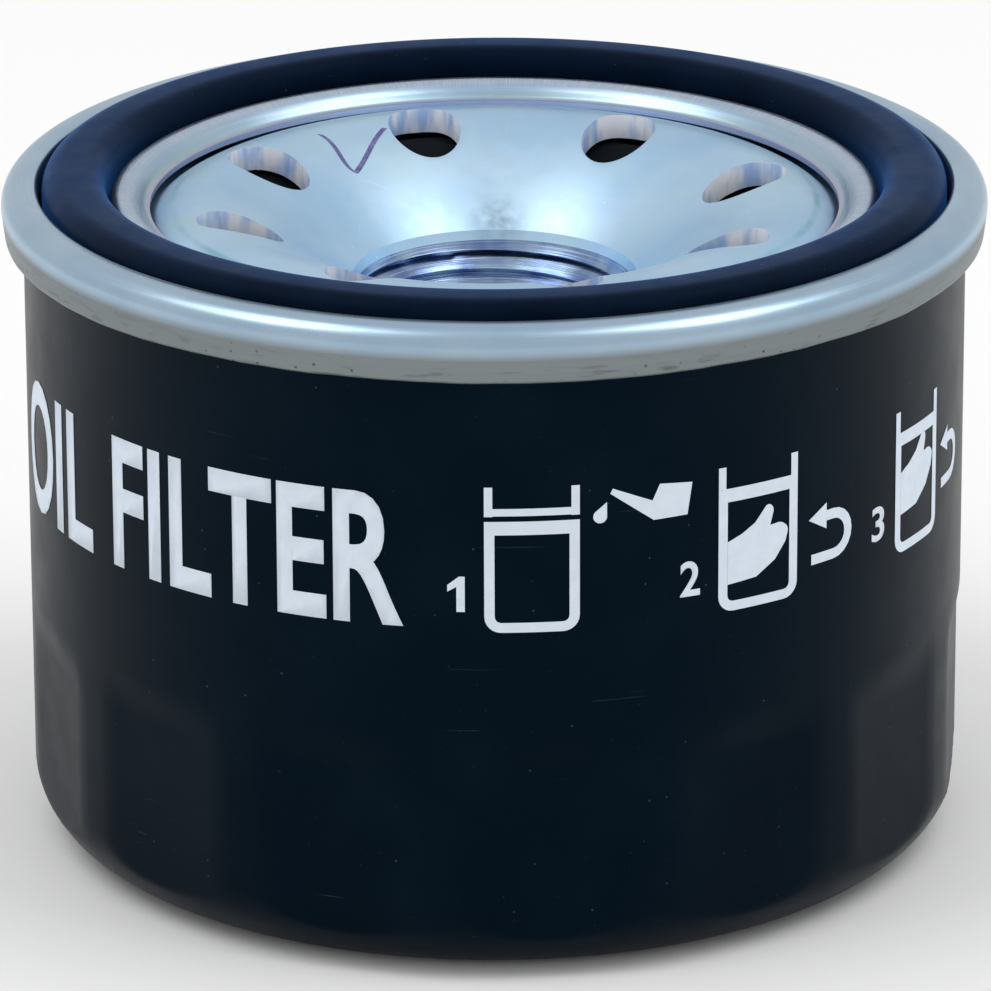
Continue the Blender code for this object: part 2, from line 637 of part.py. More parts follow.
def build_coil(name, coil_radius, wire, turns, bottom, top):
    """Compression spring between two heights, wound evenly on the axis."""
    points = []
    steps = int(round(turns * WIRE_POINTS))
    low = bottom + wire / 2
    rise = top - bottom - wire
    for i in range(steps + 1):
        angle = math.tau * turns * i / steps
        height = low + rise * i / steps
        points.append((coil_radius * math.cos(angle), coil_radius * math.sin(angle), height))
    curve = bpy.data.curves.new(name, "CURVE")
    curve.dimensions = "3D"
    curve.bevel_depth = wire / 2
    curve.bevel_resolution = 2
    curve.use_fill_caps = True
    spline = curve.splines.new("POLY")
    spline.points.add(len(points) - 1)
    for target, point in zip(spline.points, points):
        target.co = (*point, 1.0)
    curve.materials.append(MATERIALS["spring_steel"])
    obj = bpy.data.objects.new(name, curve)
    PARTS.objects.link(obj)


clear_scene()
PARTS = make_collection("oil_filter")
CUTTERS = make_collection("cutters")
MATERIALS = {name: make_material(name) for name in COLORS}

build_can()
build_lid()
build_compound()
build_plate()
build_gasket()
build_drain_valve()
build_upper_cap()
build_lower_cap()
build_adhesive("upper_adhesive", UPPER_CAP_FACE - FIT - ADHESIVE_DEPTH)
build_adhesive("lower_adhesive", LOWER_CAP_FACE + FIT)
build_media()
build_clip()
build_tube()
build_cage()
build_valve_plate()
build_seal()
build_coil("bypass_spring", BYPASS_COIL_RADIUS, BYPASS_WIRE, BYPASS_TURNS,
           VALVE_TOP + FIT, CAGE_TOP - CAGE_SHEET - FIT)
build_coil("element_spring", SPRING_COIL_RADIUS, SPRING_WIRE, SPRING_TURNS,
           PANEL_INSIDE + FIT, PANEL_INSIDE + FIT + SPRING_HEIGHT)
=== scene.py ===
"""Spin-on oil filter: the finished look of every piece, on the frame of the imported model.

The filter stands on its closed end, with the threaded end up and the axis along +Z. Lengths are
in millimetres times MM.
"""

import math

import bmesh
import bpy
from mathutils import Matrix, Vector, noise
from mathutils.geometry import interpolate_bezier


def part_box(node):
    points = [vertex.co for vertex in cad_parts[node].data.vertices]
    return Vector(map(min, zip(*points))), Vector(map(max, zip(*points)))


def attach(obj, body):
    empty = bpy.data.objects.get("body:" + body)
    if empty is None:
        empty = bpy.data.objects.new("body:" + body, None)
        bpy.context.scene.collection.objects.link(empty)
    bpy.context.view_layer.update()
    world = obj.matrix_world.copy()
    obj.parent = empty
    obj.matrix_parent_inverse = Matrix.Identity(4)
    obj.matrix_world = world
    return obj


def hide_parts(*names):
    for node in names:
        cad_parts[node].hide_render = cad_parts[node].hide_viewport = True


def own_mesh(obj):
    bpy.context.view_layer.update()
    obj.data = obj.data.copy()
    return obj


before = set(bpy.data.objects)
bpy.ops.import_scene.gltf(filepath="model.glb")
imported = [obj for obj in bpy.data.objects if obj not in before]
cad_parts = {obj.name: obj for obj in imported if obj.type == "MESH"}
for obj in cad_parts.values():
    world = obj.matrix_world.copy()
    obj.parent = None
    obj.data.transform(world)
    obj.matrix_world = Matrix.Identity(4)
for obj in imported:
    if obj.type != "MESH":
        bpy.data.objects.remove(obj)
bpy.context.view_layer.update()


# ---------------------------------------------------------------------------------------------
# Can
# A cup deep-drawn from 0.42 mm sheet steel and stoved in satin black. Fourteen wrench flats are
# pressed into the lower wall, and the top edge is flanged outwards to be rolled into the seam.

MM = 0.001
CAN_RADIUS = 38.0 * MM
CAN_SHEET = 0.42 * MM
FLATS = 14
FLAT_DEPTH = 0.55 * MM
FLAT_TOP = 17.0 * MM
FLAT_RUNOUT = 4.0 * MM
PAINT_BLACK = (0.0012, 0.0036, 0.0075, 1)
PAINT_RUBBED = (0.0022, 0.0056, 0.0105, 1)
DUST = (0.16, 0.20, 0.24, 1)


def profile_line(shape, corners, closed):
    """Wire profile in the XZ plane. A corner is its radius, height and rounding, in mm."""
    points = [shape.verts.new((r * MM, 0.0, z * MM)) for r, z, rounding in corners]
    for here, there in zip(points, points[1:]):
        shape.edges.new((here, there))
    if closed:
        shape.edges.new((points[-1], points[0]))
    for point, (r, z, rounding) in zip(points, corners):
        if rounding:
            bmesh.ops.bevel(shape, geom=[point], offset=rounding * MM, offset_type="OFFSET",
                            affect="VERTICES", segments=max(3, int(rounding * 5)), profile=0.5,
                            material=-1)


def turn(shape, steps):
    """Turn the whole wire about the axis and close its seam and poles."""
    bmesh.ops.spin(shape, geom=shape.verts[:] + shape.edges[:], cent=(0, 0, 0), axis=(0, 0, 1),
                   angle=math.tau, steps=steps, use_merge=True)
    bmesh.ops.remove_doubles(shape, verts=shape.verts[:], dist=0.00001 * MM)
    bmesh.ops.recalc_face_normals(shape, faces=shape.faces[:])


def crease(shape, degrees=35.0):
    """Smooth faces, with hard lines only where the surface really turns."""
    for face in shape.faces:
        face.smooth = True
    for edge in shape.edges:
        edge.smooth = edge.is_manifold and edge.calc_face_angle(0.0) < math.radians(degrees)


def make_piece(name, shape, finish):
    """Mesh object from a finished shape."""
    mesh = bpy.data.meshes.new(name)
    shape.to_mesh(mesh)
    shape.free()
    mesh.materials.append(finish)
    piece = bpy.data.objects.new(name, mesh)
    bpy.context.scene.collection.objects.link(piece)
    return piece


def turned_piece(name, corners, closed, steps, finish, hard=35.0):
    """Piece turned from a profile, with its hard lines kept."""
    shape = bmesh.new()
    profile_line(shape, corners, closed)
    turn(shape, steps)
    crease(shape, hard)
    return make_piece(name, shape, finish)


def thicken(piece, sheet):
    """Give a surface the thickness of its sheet, on its inner side."""
    wall = piece.modifiers.new("sheet", "SOLIDIFY")
    wall.thickness = sheet
    wall.offset = -1.0
    wall.use_even_offset = True


def stands_for(piece, node, body):
    """The piece takes the place of a node of the frame and moves with its body."""
    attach(piece, body)
    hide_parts(node)


def start_finish(name, metallic):
    """New material, its shader, and the piece's own coordinates."""
    material = bpy.data.materials.new(name)
    material.use_nodes = True
    tree = material.node_tree
    shader = tree.nodes["Principled BSDF"]
    shader.inputs["Metallic"].default_value = metallic
    place = tree.nodes.new("ShaderNodeTexCoord").outputs["Object"]
    return material, shader, place


def grain(place, size, detail=2.0, stretch=(1, 1, 1)):
    """Noise from 0 to 1 with blotches about one size across, drawn out by the stretch."""
    tree = place.id_data
    mapping = tree.nodes.new("ShaderNodeMapping")
    mapping.inputs["Scale"].default_value = [1.0 / (size * s) for s in stretch]
    tree.links.new(place, mapping.inputs["Vector"])
    texture = tree.nodes.new("ShaderNodeTexNoise")
    texture.inputs["Scale"].default_value = 1.0
    texture.inputs["Detail"].default_value = detail
    tree.links.new(mapping.outputs["Vector"], texture.inputs["Vector"])
    return texture.outputs["Fac"]


def window(value, low, high, start=0.0, end=1.0):
    """Map a value between low and high to a new range, held at both ends."""
    tree = value.id_data
    node = tree.nodes.new("ShaderNodeMapRange")
    tree.links.new(value, node.inputs["Value"])
    for name, number in (("From Min", low), ("From Max", high), ("To Min", start), ("To Max", end)):
        node.inputs[name].default_value = number
    return node.outputs["Result"]


def sum_up(operation, first, second):
    """One sum on two values, each a socket or a number."""
    tree = first.id_data
    node = tree.nodes.new("ShaderNodeMath")
    node.operation = operation
    for value, socket in ((first, node.inputs[0]), (second, node.inputs[1])):
        if isinstance(value, float):
            socket.default_value = value
        else:
            tree.links.new(value, socket)
    return node.outputs["Value"]


def times(first, second):
    """The product of two values, each a socket or a number."""
    return sum_up("MULTIPLY", first, second)


def tint(share, first, second):
    """Mix two colours, each a socket or a written colour."""
    tree = share.id_data
    node = tree.nodes.new("ShaderNodeMix")
    node.data_type = "RGBA"
    tree.links.new(share, node.inputs["Factor"])
    sockets = [s for s in node.inputs if s.type == "RGBA"]
    for value, socket in zip((first, second), sockets):
        if isinstance(value, tuple):
            socket.default_value = value
        else:
            tree.links.new(value, socket)
    return [s for s in node.outputs if s.type == "RGBA"][0]


def specks(place, spacing, radius, share):
    """1 on scattered round specks and 0 between them. Only this share of the cells has one."""
    tree = place.id_data
    mapping = tree.nodes.new("ShaderNodeMapping")
    mapping.inputs["Scale"].default_value = [1.0 / spacing] * 3
    tree.links.new(place, mapping.inputs["Vector"])
    cells = tree.nodes.new("ShaderNodeTexVoronoi")
    cells.inputs["Scale"].default_value = 1.0
    tree.links.new(mapping.outputs["Vector"], cells.inputs["Vector"])
    near = window(cells.outputs["Distance"], radius / spacing, 0.5 * radius / spacing)
    split = tree.nodes.new("ShaderNodeSeparateColor")
    tree.links.new(cells.outputs["Color"], split.inputs["Color"])
    chosen = window(split.outputs[0], 1.0 - share, 1.0 - 0.9 * share)
    return times(near, chosen)


def around_axis(place, radius):
    """Coordinates that follow the turning: along the circle, out from the axis, and up."""
    tree = place.id_data
    parts = tree.nodes.new("ShaderNodeSeparateXYZ")
    tree.links.new(place, parts.inputs["Vector"])
    front = times(parts.outputs["Y"], -1.0)
    angle = sum_up("ARCTAN2", parts.outputs["X"], front)
    x_square = times(parts.outputs["X"], parts.outputs["X"])
    y_square = times(parts.outputs["Y"], parts.outputs["Y"])
    out = sum_up("POWER", sum_up("ADD", x_square, y_square), 0.5)
    joined = tree.nodes.new("ShaderNodeCombineXYZ")
    tree.links.new(times(angle, float(radius)), joined.inputs["X"])
    tree.links.new(out, joined.inputs["Y"])
    tree.links.new(parts.outputs["Z"], joined.inputs["Z"])
    return joined.outputs["Vector"], out, parts.outputs["Z"]


def feed(value, shader, name):
    """Lead a value to one of the shader's sockets."""
    value.id_data.links.new(value, shader.inputs[name])


def relief(shader, height, depth):
    """Raise the surface by the height, 0 to 1, times the depth."""
    tree = height.id_data
    bump = tree.nodes.new("ShaderNodeBump")
    bump.inputs["Distance"].default_value = depth
    tree.links.new(height, bump.inputs["Height"])
    feed(bump.outputs["Normal"], shader, "Normal")


def can_paint():
    """Satin stoving enamel: a fine orange peel, dust, light rubs and a few fine scratches."""
    material, shader, place = start_finish("can_paint", 0.0)
    ring = around_axis(place, CAN_RADIUS)[0]
    rubbed = window(grain(place, 9 * MM, 4.0), 0.45, 0.75)
    peel = grain(place, 0.9 * MM, 2.0)
    scratch = window(grain(ring, 0.22 * MM, 1.0, (60, 1, 1)), 0.74, 0.80)
    scratch = times(scratch,
                     window(grain(place, 6 * MM, 1.0), 0.56, 0.66))
    dust = specks(place, 1.5 * MM, 0.11 * MM, 0.35)
    fine = specks(place, 0.7 * MM, 0.05 * MM, 0.30)
    dirt = sum_up("MAXIMUM", dust, fine)
    marks = sum_up("MAXIMUM", times(dirt, 0.22),
                   times(scratch, 0.14))
    color = tint(rubbed, PAINT_BLACK, PAINT_RUBBED)
    feed(tint(marks, color, DUST), shader, "Base Color")
    feed(window(grain(place, 4 * MM, 5.0), 0.3, 0.7, 0.33, 0.39), shader, "Roughness")
    shader.inputs["Specular IOR Level"].default_value = 0.09
    shader.inputs["Specular Tint"].default_value = (0.10, 0.45, 0.80, 1)
    lumps = sum_up("ADD", times(peel, 0.6),
                   times(marks, 0.8))
    relief(shader, lumps, 0.012 * MM)
    return material


def press_flats(shape):
    """Move the wall in to each flat's chord. The flats fade out above FLAT_TOP."""
    pitch = math.tau / FLATS
    for point in shape.verts:
        radius = point.co.xy.length
        fade = (FLAT_TOP + FLAT_RUNOUT - point.co.z) / FLAT_RUNOUT
        fade = min(max(fade, 0.0), 1.0)
        fade = fade * fade * (3 - 2 * fade)
        from_middle = (math.atan2(point.co.y, point.co.x) - pitch / 4) % pitch - pitch / 2
        chord = (CAN_RADIUS - FLAT_DEPTH) / math.cos(from_middle)
        if fade > 0 and radius > chord:
            point.co.xy *= 1 + fade * (chord / radius - 1)


shape = bmesh.new()
wall = [(38.0, 21.0 - 0.5 * i, 0) for i in range(9)]
profile_line(shape, [(38.4, 51.28, 0), (38.4, 51.88, 0.19), (38.0, 51.88, 0.19), (38.0, 36.0, 0)]
             + wall + [(38.0, 12.0, 0), (38.0, 0.0, 5.9), (22.0, 0.0, 0.5), (21.2, 0.8, 0.5),
                       (10.0, 0.8, 0), (0.0, 0.8, 0)], False)
turn(shape, 16 * FLATS)
# So far the faces look inwards, because the folded top edge lies outermost.
bmesh.ops.reverse_faces(shape, faces=shape.faces[:])
press_flats(shape)
crease(shape, 40.0)
can_body = make_piece("can_body", shape, can_paint())
thicken(can_body, CAN_SHEET)
stands_for(can_body, "can", "housing")


# ---------------------------------------------------------------------------------------------
# Print on the can
# Pale ink, screen-printed on the round wall above the flats: a plain name of the thing and three
# picture steps for fitting it. Oil the gasket, turn it on by hand, then tighten it by hand.

INK_LIFT = 0.02 * MM
INK_DEPTH = 0.02 * MM


def print_ink():
    """Pale, slightly blue ink with small pinholes and a thin, uneven coat."""
    material, shader, place = start_finish("print_ink", 0.0)
    thin = window(grain(place, 1.3 * MM, 5.0), 0.35, 0.75, 0.0, 0.35)
    pinholes = specks(place, 1.1 * MM, 0.07 * MM, 0.25)
    color = tint(thin, (0.70, 0.78, 0.88, 1), (0.52, 0.62, 0.74, 1))
    color = tint(times(pinholes, 0.5), color, (0.10, 0.12, 0.16, 1))
    feed(color, shader, "Base Color")
    feed(window(thin, 0.0, 0.35, 0.45, 0.62), shader, "Roughness")
    relief(shader, grain(place, 0.35 * MM, 3.0), 0.006 * MM)
    return material


INK = print_ink()


def wrap_on_can(name, shape):
    """Lay a flat shape on the can's wall. Its X runs along the wall from the front, its Y up."""
    low = min(point.co.x for point in shape.verts)
    high = max(point.co.x for point in shape.verts)
    cut = math.ceil(low / MM) * MM
    while cut < high:
        bmesh.ops.bisect_plane(shape, geom=shape.verts[:] + shape.edges[:] + shape.faces[:],
                               plane_co=(cut, 0, 0), plane_no=(1, 0, 0))
        cut += MM
    for point in shape.verts:
        angle = point.co.x / CAN_RADIUS
        radius = CAN_RADIUS + INK_LIFT
        point.co = (radius * math.sin(angle), -radius * math.cos(angle), point.co.y)
    bmesh.ops.recalc_face_normals(shape, faces=shape.faces[:])
    for face in shape.faces:
        out = Vector((*face.calc_center_median().xy, 0))
        if face.normal.dot(out) < 0:
            face.normal_flip()
    bmesh.ops.solidify(shape, geom=shape.faces[:], thickness=-INK_DEPTH)
    bmesh.ops.recalc_face_normals(shape, faces=shape.faces[:])
    piece = make_piece(name, shape, INK)
    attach(piece, "housing")
    return piece


def flat_shape(shape, outline):
    """One filled outline. Its points are in mm."""
    return shape.faces.new([shape.verts.new((x * MM, y * MM, 0)) for x, y in outline])


def rounded(shape, face, corners, radius):
    """Round the chosen corners of a flat shape."""
    points = [face.verts[i] for i in corners]
    bmesh.ops.bevel(shape, geom=points, offset=radius * MM, offset_type="OFFSET",
                    affect="VERTICES", segments=6, profile=0.5, material=-1)


def add_bar(shape, left, bottom, right, top):
    flat_shape(shape, [(left, bottom), (right, bottom), (right, top), (left, top)])


def add_lettering(name, words, left, bottom, width, height, weight):
    """Plain capitals or figures, fitted to a box in mm."""
    text = bpy.data.curves.new(name, "FONT")
    text.body = words
    text.offset = weight
    text.resolution_u = 5
    holder = bpy.data.objects.new(name, text)
    bpy.context.scene.collection.objects.link(holder)
    bpy.context.view_layer.update()
    flat = bpy.data.meshes.new_from_object(holder.evaluated_get(
        bpy.context.evaluated_depsgraph_get()))
    bpy.data.objects.remove(holder)
    shape = bmesh.new()
    shape.from_mesh(flat)
    bmesh.ops.remove_doubles(shape, verts=shape.verts[:], dist=0.0001)
    xs = [point.co.x for point in shape.verts]
    ys = [point.co.y for point in shape.verts]
    size = Vector((width * MM / (max(xs) - min(xs)), height * MM / (max(ys) - min(ys)), 1))
    bmesh.ops.translate(shape, verts=shape.verts[:], vec=(-min(xs), -min(ys), 0))
    bmesh.ops.scale(shape, verts=shape.verts[:], vec=size)
    bmesh.ops.translate(shape, verts=shape.verts[:], vec=(left * MM, bottom * MM, 0))
    return wrap_on_can(name, shape)


def add_outline(shape, points, corners, radius, line):
    """A drawn line of one width, on the inside of a closed outline."""
    old = set(shape.faces)
    face = flat_shape(shape, points)
    rounded(shape, face, corners, radius)
    face = [f for f in shape.faces if f not in old][0]
    bmesh.ops.inset_region(shape, faces=[face], thickness=line * MM, use_boundary=True,
                           use_even_offset=True)
    bmesh.ops.delete(shape, geom=[face], context="FACES_ONLY")


def add_drop(shape, x, y, size, lean):
    """Oil drop: a round belly drawn out to a point."""
    points = []
    for i in range(16):
        angle = math.radians(-215 + i * 250 / 15)
        points.append((size * math.cos(angle), size * math.sin(angle)))
    points.append((0.0, 2.3 * size))
    turned = Matrix.Rotation(math.radians(lean), 2)
    flat_shape(shape, [(x + (turned @ Vector(p)).x, y + (turned @ Vector(p)).y) for p in points])


def add_filter_sign(shape, x, gap):
    """Filter seen from the side, under the engine's filter pad."""
    foot = 39.5 - 0.6 * gap
    add_bar(shape, x, foot, x + 0.65, 41.3)
    add_bar(shape, x + 6.75, foot, x + 7.4, 41.3)
    if gap:
        add_bar(shape, x + 0.65, 38.95, x + 6.75, 39.55)
    add_bar(shape, x + 0.8, 38.4 - gap, x + 6.6, 38.7 - gap)
    add_outline(shape, [(x, 29.4), (x + 7.4, 29.4), (x + 7.4, 39.5 - gap), (x, 39.5 - gap)],
                [0, 1], 1.3, 0.8)


def add_hand(shape, x, y):
    """Mitten-shaped hand that grips the filter."""
    palm = [(0.0, 0.0), (2.6, 0.2), (4.4, 1.3), (5.4, 2.6), (5.7, 3.7), (5.0, 4.3), (3.9, 4.2),
            (4.3, 5.6), (3.7, 6.1), (2.5, 4.7), (1.3, 4.0), (0.0, 3.5)]
    face = flat_shape(shape, [(x + px, y + py) for px, py in palm])
    rounded(shape, face, [4, 5, 7, 8], 0.35)


def add_turn_arrow(shape, x, y):
    """Open arrow bent round, to the left: turn clockwise as seen from the can's end."""
    steps = 10
    outer, inner = 2.1, 1.25
    bend = [(outer * math.cos(a), outer * math.sin(a)) for a in
            [math.radians(-90 + 180 * i / steps) for i in range(steps + 1)]]
    back = [(inner * math.cos(a), inner * math.sin(a)) for a in
            [math.radians(90 - 180 * i / steps) for i in range(steps + 1)]]
    head = [(-0.8, outer), (-0.8, 2.75), (-2.7, (outer + inner) / 2), (-0.8, 0.6), (-0.8, inner)]
    tail = [(-2.4, -inner), (-2.4, -outer)]
    flat_shape(shape, [(x + px, y + py) for px, py in bend + head + back + tail])


add_lettering("print_name", "OIL FILTER", -52.4, 29.6, 45.2, 11.1, 0.022)
add_lettering("print_step_two", "2", 14.6, 31.2, 1.7, 2.9, 0.02)
add_lettering("print_step_three", "3", 33.9, 31.4, 1.7, 2.9, 0.02)

shape = bmesh.new()
flat_shape(shape, [(-3.05, 31.1), (-2.4, 31.1), (-2.4, 34.0), (-2.85, 34.0), (-3.75, 33.3),
                   (-3.75, 32.75), (-3.05, 33.15)])
wrap_on_can("print_step_one", shape)

shape = bmesh.new()
add_filter_sign(shape, -0.9, 1.0)
add_drop(shape, 8.1, 38.6, 0.55, -25)
flat_shape(shape, [(8.9, 40.4), (12.4, 37.9), (15.2, 38.0), (15.6, 40.6), (12.9, 40.8),
                   (12.3, 39.5), (9.1, 40.8)])
wrap_on_can("print_oil_the_gasket", shape)

shape = bmesh.new()
add_filter_sign(shape, 17.9, 0.0)
add_hand(shape, 18.72, 31.6)
add_turn_arrow(shape, 29.2, 33.6)
wrap_on_can("print_turn_by_hand", shape)

shape = bmesh.new()
add_filter_sign(shape, 37.2, 0.0)
add_hand(shape, 38.02, 32.6)
add_turn_arrow(shape, 48.4, 34.4)
wrap_on_can("print_tighten_by_hand", shape)


# ---------------------------------------------------------------------------------------------
# Element spring
# Open coil of hard-drawn wire between the can's base and the element. It holds the element up
# against the anti-drain valve and is squeezed a little further when the element sinks.

WIRE_GREY = (0.36, 0.37, 0.39, 1)


def drawn_wire(name, coil_radius):
    """Phosphated spring wire with fine marks along it from the drawing die."""
    material, shader, place = start_finish(name, 1.0)
    ring = around_axis(place, coil_radius)[0]
    marks = grain(ring, 0.12 * MM, 3.0, (30, 1, 1))
    patches = grain(place, 3 * MM, 3.0)
    color = tint(window(patches, 0.35, 0.7), WIRE_GREY, (0.24, 0.24, 0.25, 1))
    feed(color, shader, "Base Color")
    feed(window(marks, 0.3, 0.7, 0.25, 0.5), shader, "Roughness")
    relief(shader, marks, 0.02 * MM)
    return material


def wind_spring(name, finish, coil_radius, wire, turns, low, high):
    """Wind a round wire into a coil from one height to another, with its ends closed."""
    shape = bmesh.new()
    ring = bmesh.ops.create_circle(shape, cap_ends=True, segments=14, radius=wire / 2)
    place = Matrix.Translation((coil_radius, 0, low + wire / 2))
    stand = Matrix.Rotation(math.pi / 2, 4, "X")
    bmesh.ops.transform(shape, verts=ring["verts"], matrix=place @ stand)
    steps = int(turns * 40)
    rise = (high - low - wire) / steps
    start = shape.faces[:]
    bmesh.ops.spin(shape, geom=start, cent=(0, 0, 0), axis=(0, 0, 1), dvec=(0, 0, rise),
                   angle=math.tau * turns, steps=steps)
    bmesh.ops.recalc_face_normals(shape, faces=shape.faces[:])
    crease(shape, 50.0)
    return make_piece(name, shape, finish)


spring_low, spring_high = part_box("element_spring")
element_coil = wind_spring("element_coil", drawn_wire("element_wire", 15.5 * MM), 15.5 * MM,
                           1.5 * MM, 2.5, spring_low.z, spring_high.z)
stands_for(element_coil, "element_spring", "housing")
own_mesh(element_coil)


# ---------------------------------------------------------------------------------------------
# End caps
# Two shallow pans pressed from 0.5 mm tinned steel, which close the pleated paper. The upper one
# slides on the neck; the lower one has a turned-up rim in its middle that is the bypass seat.

def tinned_steel():
    """Tinned sheet: soft grey, with spangle, press marks and rubbed patches."""
    material, shader, place = start_finish("tinned_steel", 1.0)
    ring = around_axis(place, 25 * MM)[0]
    spangle = grain(place, 2.2 * MM, 1.0)
    drawn = grain(ring, 0.25 * MM, 2.0, (25, 1, 1))
    stain = window(grain(place, 7 * MM, 4.0), 0.5, 0.75)
    color = tint(window(spangle, 0.4, 0.6), (0.58, 0.58, 0.57, 1),
                 (0.50, 0.51, 0.52, 1))
    color = tint(stain, color, (0.40, 0.38, 0.34, 1))
    feed(color, shader, "Base Color")
    feed(window(drawn, 0.3, 0.7, 0.26, 0.44), shader, "Roughness")
    relief(shader, drawn, 0.008 * MM)
    return material


TINNED = tinned_steel()

PAN_SHEET = 0.5 * MM
upper_line = [(12.6, 37.3, 0), (12.6, 39.6, 0.9), (20.0, 39.6, 0.3), (20.6, 39.25, 0.3),
              (27.0, 39.25, 0.3), (27.6, 39.6, 0.3), (34.3, 39.6, 0.9), (34.3, 35.7, 0)]
upper_pan = turned_piece("upper_pan", upper_line, False, 128, TINNED)
thicken(upper_pan, PAN_SHEET)
stands_for(upper_pan, "upper_end_cap", "element")

lower_line = [(34.3, 12.52, 0), (34.3, 8.62, 0.9), (7.3, 8.62, 0), (6.5, 8.62, 0.8),
              (6.5, 10.12, 0)]
lower_pan = turned_piece("lower_pan", lower_line, False, 128, TINNED)
thicken(lower_pan, PAN_SHEET)
stands_for(lower_pan, "lower_end_cap", "element")


# ---------------------------------------------------------------------------------------------
# Bypass valve
# A cage of pressed steel carries a coil spring, which holds a disc with a rubber seal on the
# seat. Thick cold oil or a clogged paper lifts it, and the engine gets unfiltered oil.

def spring_cage():
    """Turned cage with four windows cut through its wall."""
    cage_line = [(2.5, 23.62, 0), (6.4, 23.62, 0.8), (10.8, 17.62, 1.2), (10.8, 10.02, 0.5),
                 (13.8, 10.02, 0)]
    cage = turned_piece("bypass_spring_cage", cage_line, False, 96, TINNED)
    thicken(cage, 0.6 * MM)
    cutter = bmesh.new()
    for i in range(4):
        side = Matrix.Rotation((i + 0.5) * math.tau / 4, 4, "Z")
        place = Matrix.Translation((11.4 * MM, 0, 15.3 * MM))
        size = Matrix.Diagonal((5.6 * MM, 7.0 * MM, 7.6 * MM, 1))
        bmesh.ops.create_cube(cutter, size=1.0, matrix=side @ place @ size)
    upright = [e for e in cutter.edges if abs((e.verts[0].co - e.verts[1].co).normalized().z) < 0.1
               and abs((e.verts[0].co - e.verts[1].co).length - 5.6 * MM) < 0.1 * MM]
    bmesh.ops.bevel(cutter, geom=upright, offset=1.2 * MM, affect="EDGES", segments=4, profile=0.5,
                    material=-1)
    return cut_away(cage, cutter)


def cut_away(piece, cutter):
    """Cut a shape out of a piece, and keep the result as the piece's own mesh."""
    tool_mesh = bpy.data.meshes.new("cutter")
    bmesh.ops.recalc_face_normals(cutter, faces=cutter.faces[:])
    cutter.to_mesh(tool_mesh)
    cutter.free()
    tool = bpy.data.objects.new("cutter", tool_mesh)
    bpy.context.scene.collection.objects.link(tool)
    hole = piece.modifiers.new("cut", "BOOLEAN")
    hole.operation = "DIFFERENCE"
    hole.solver = "EXACT"
    hole.object = tool
    bpy.context.view_layer.update()
    done = bpy.data.meshes.new_from_object(piece.evaluated_get(
        bpy.context.evaluated_depsgraph_get()))
    piece.modifiers.clear()
    piece.data = done
    bpy.data.objects.remove(tool)
    shape = bmesh.new()
    shape.from_mesh(done)
    bmesh.ops.remove_doubles(shape, verts=shape.verts[:], dist=0.002 * MM)
    crease(shape)
    shape.to_mesh(done)
    shape.free()
    return piece


cage = spring_cage()
stands_for(cage, "bypass_cage", "element")

disc_line = [(0, 15.52, 0), (3.4, 15.52, 0.5), (3.4, 12.62, 0.3), (6.2, 12.62, 0),
             (9.2, 12.62, 0.15), (9.2, 11.92, 0.15), (2.9, 11.92, 0), (2.9, 10.02, 0.2),
             (0, 10.02, 0)]
disc = turned_piece("bypass_disc", disc_line, False, 72, TINNED)
stands_for(disc, "bypass_valve_plate", "bypass_valve")


def moulded_rubber(name, color, worn, roughness):
    """Black moulded rubber: a fine matt skin, bloom in soft patches, and clinging dust."""
    material, shader, place = start_finish(name, 0.0)
    bloom = window(grain(place, 6 * MM, 5.0), 0.35, 0.75)
    skin = grain(place, 0.30 * MM, 3.0)
    dust = sum_up("MAXIMUM", specks(place, 2.1 * MM, 0.13 * MM, 0.35),
                  specks(place, 0.8 * MM, 0.055 * MM, 0.30))
    base = tint(bloom, color, worn)
    feed(tint(times(dust, 0.35), base, DUST), shader, "Base Color")
    feed(window(grain(place, 3 * MM, 4.0), 0.3, 0.7, roughness,
                          roughness + 0.14), shader, "Roughness")
    shader.inputs["Specular IOR Level"].default_value = 0.06
    shader.inputs["Specular Tint"].default_value = (0.30, 0.60, 1.0, 1)
    lumps = sum_up("ADD", skin, times(dust, 1.5))
    relief(shader, lumps, 0.010 * MM)
    return material


washer_line = [(3.2, 11.62, 0.15), (9.2, 11.62, 0.25), (9.2, 10.42, 0.25), (3.2, 10.42, 0.15)]
washer_rubber = moulded_rubber("washer_rubber", (0.012, 0.012, 0.014, 1),
                               (0.022, 0.022, 0.025, 1), 0.5)
washer = turned_piece("bypass_washer", washer_line, True, 72, washer_rubber)
stands_for(washer, "bypass_seal", "bypass_valve")

coil_low, coil_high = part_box("bypass_spring")
bypass_coil = wind_spring("bypass_coil", drawn_wire("bypass_wire", 4.6 * MM), 4.6 * MM, 0.9 * MM,
                          5, coil_low.z, coil_high.z)
stands_for(bypass_coil, "bypass_spring", "element")
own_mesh(bypass_coil)


# ---------------------------------------------------------------------------------------------
# Centre tube
# Rolled from a perforated strip of tinned steel. It keeps the paper from caving in, and its
# round holes let the clean oil through to the middle.

TUBE_RADIUS = 16.9
TUBE_LOW = 9.42
TUBE_TOP = 38.8
TUBE_ROWS = 4
TUBE_COLUMNS = 8
TUBE_HOLE = 2.0 * MM

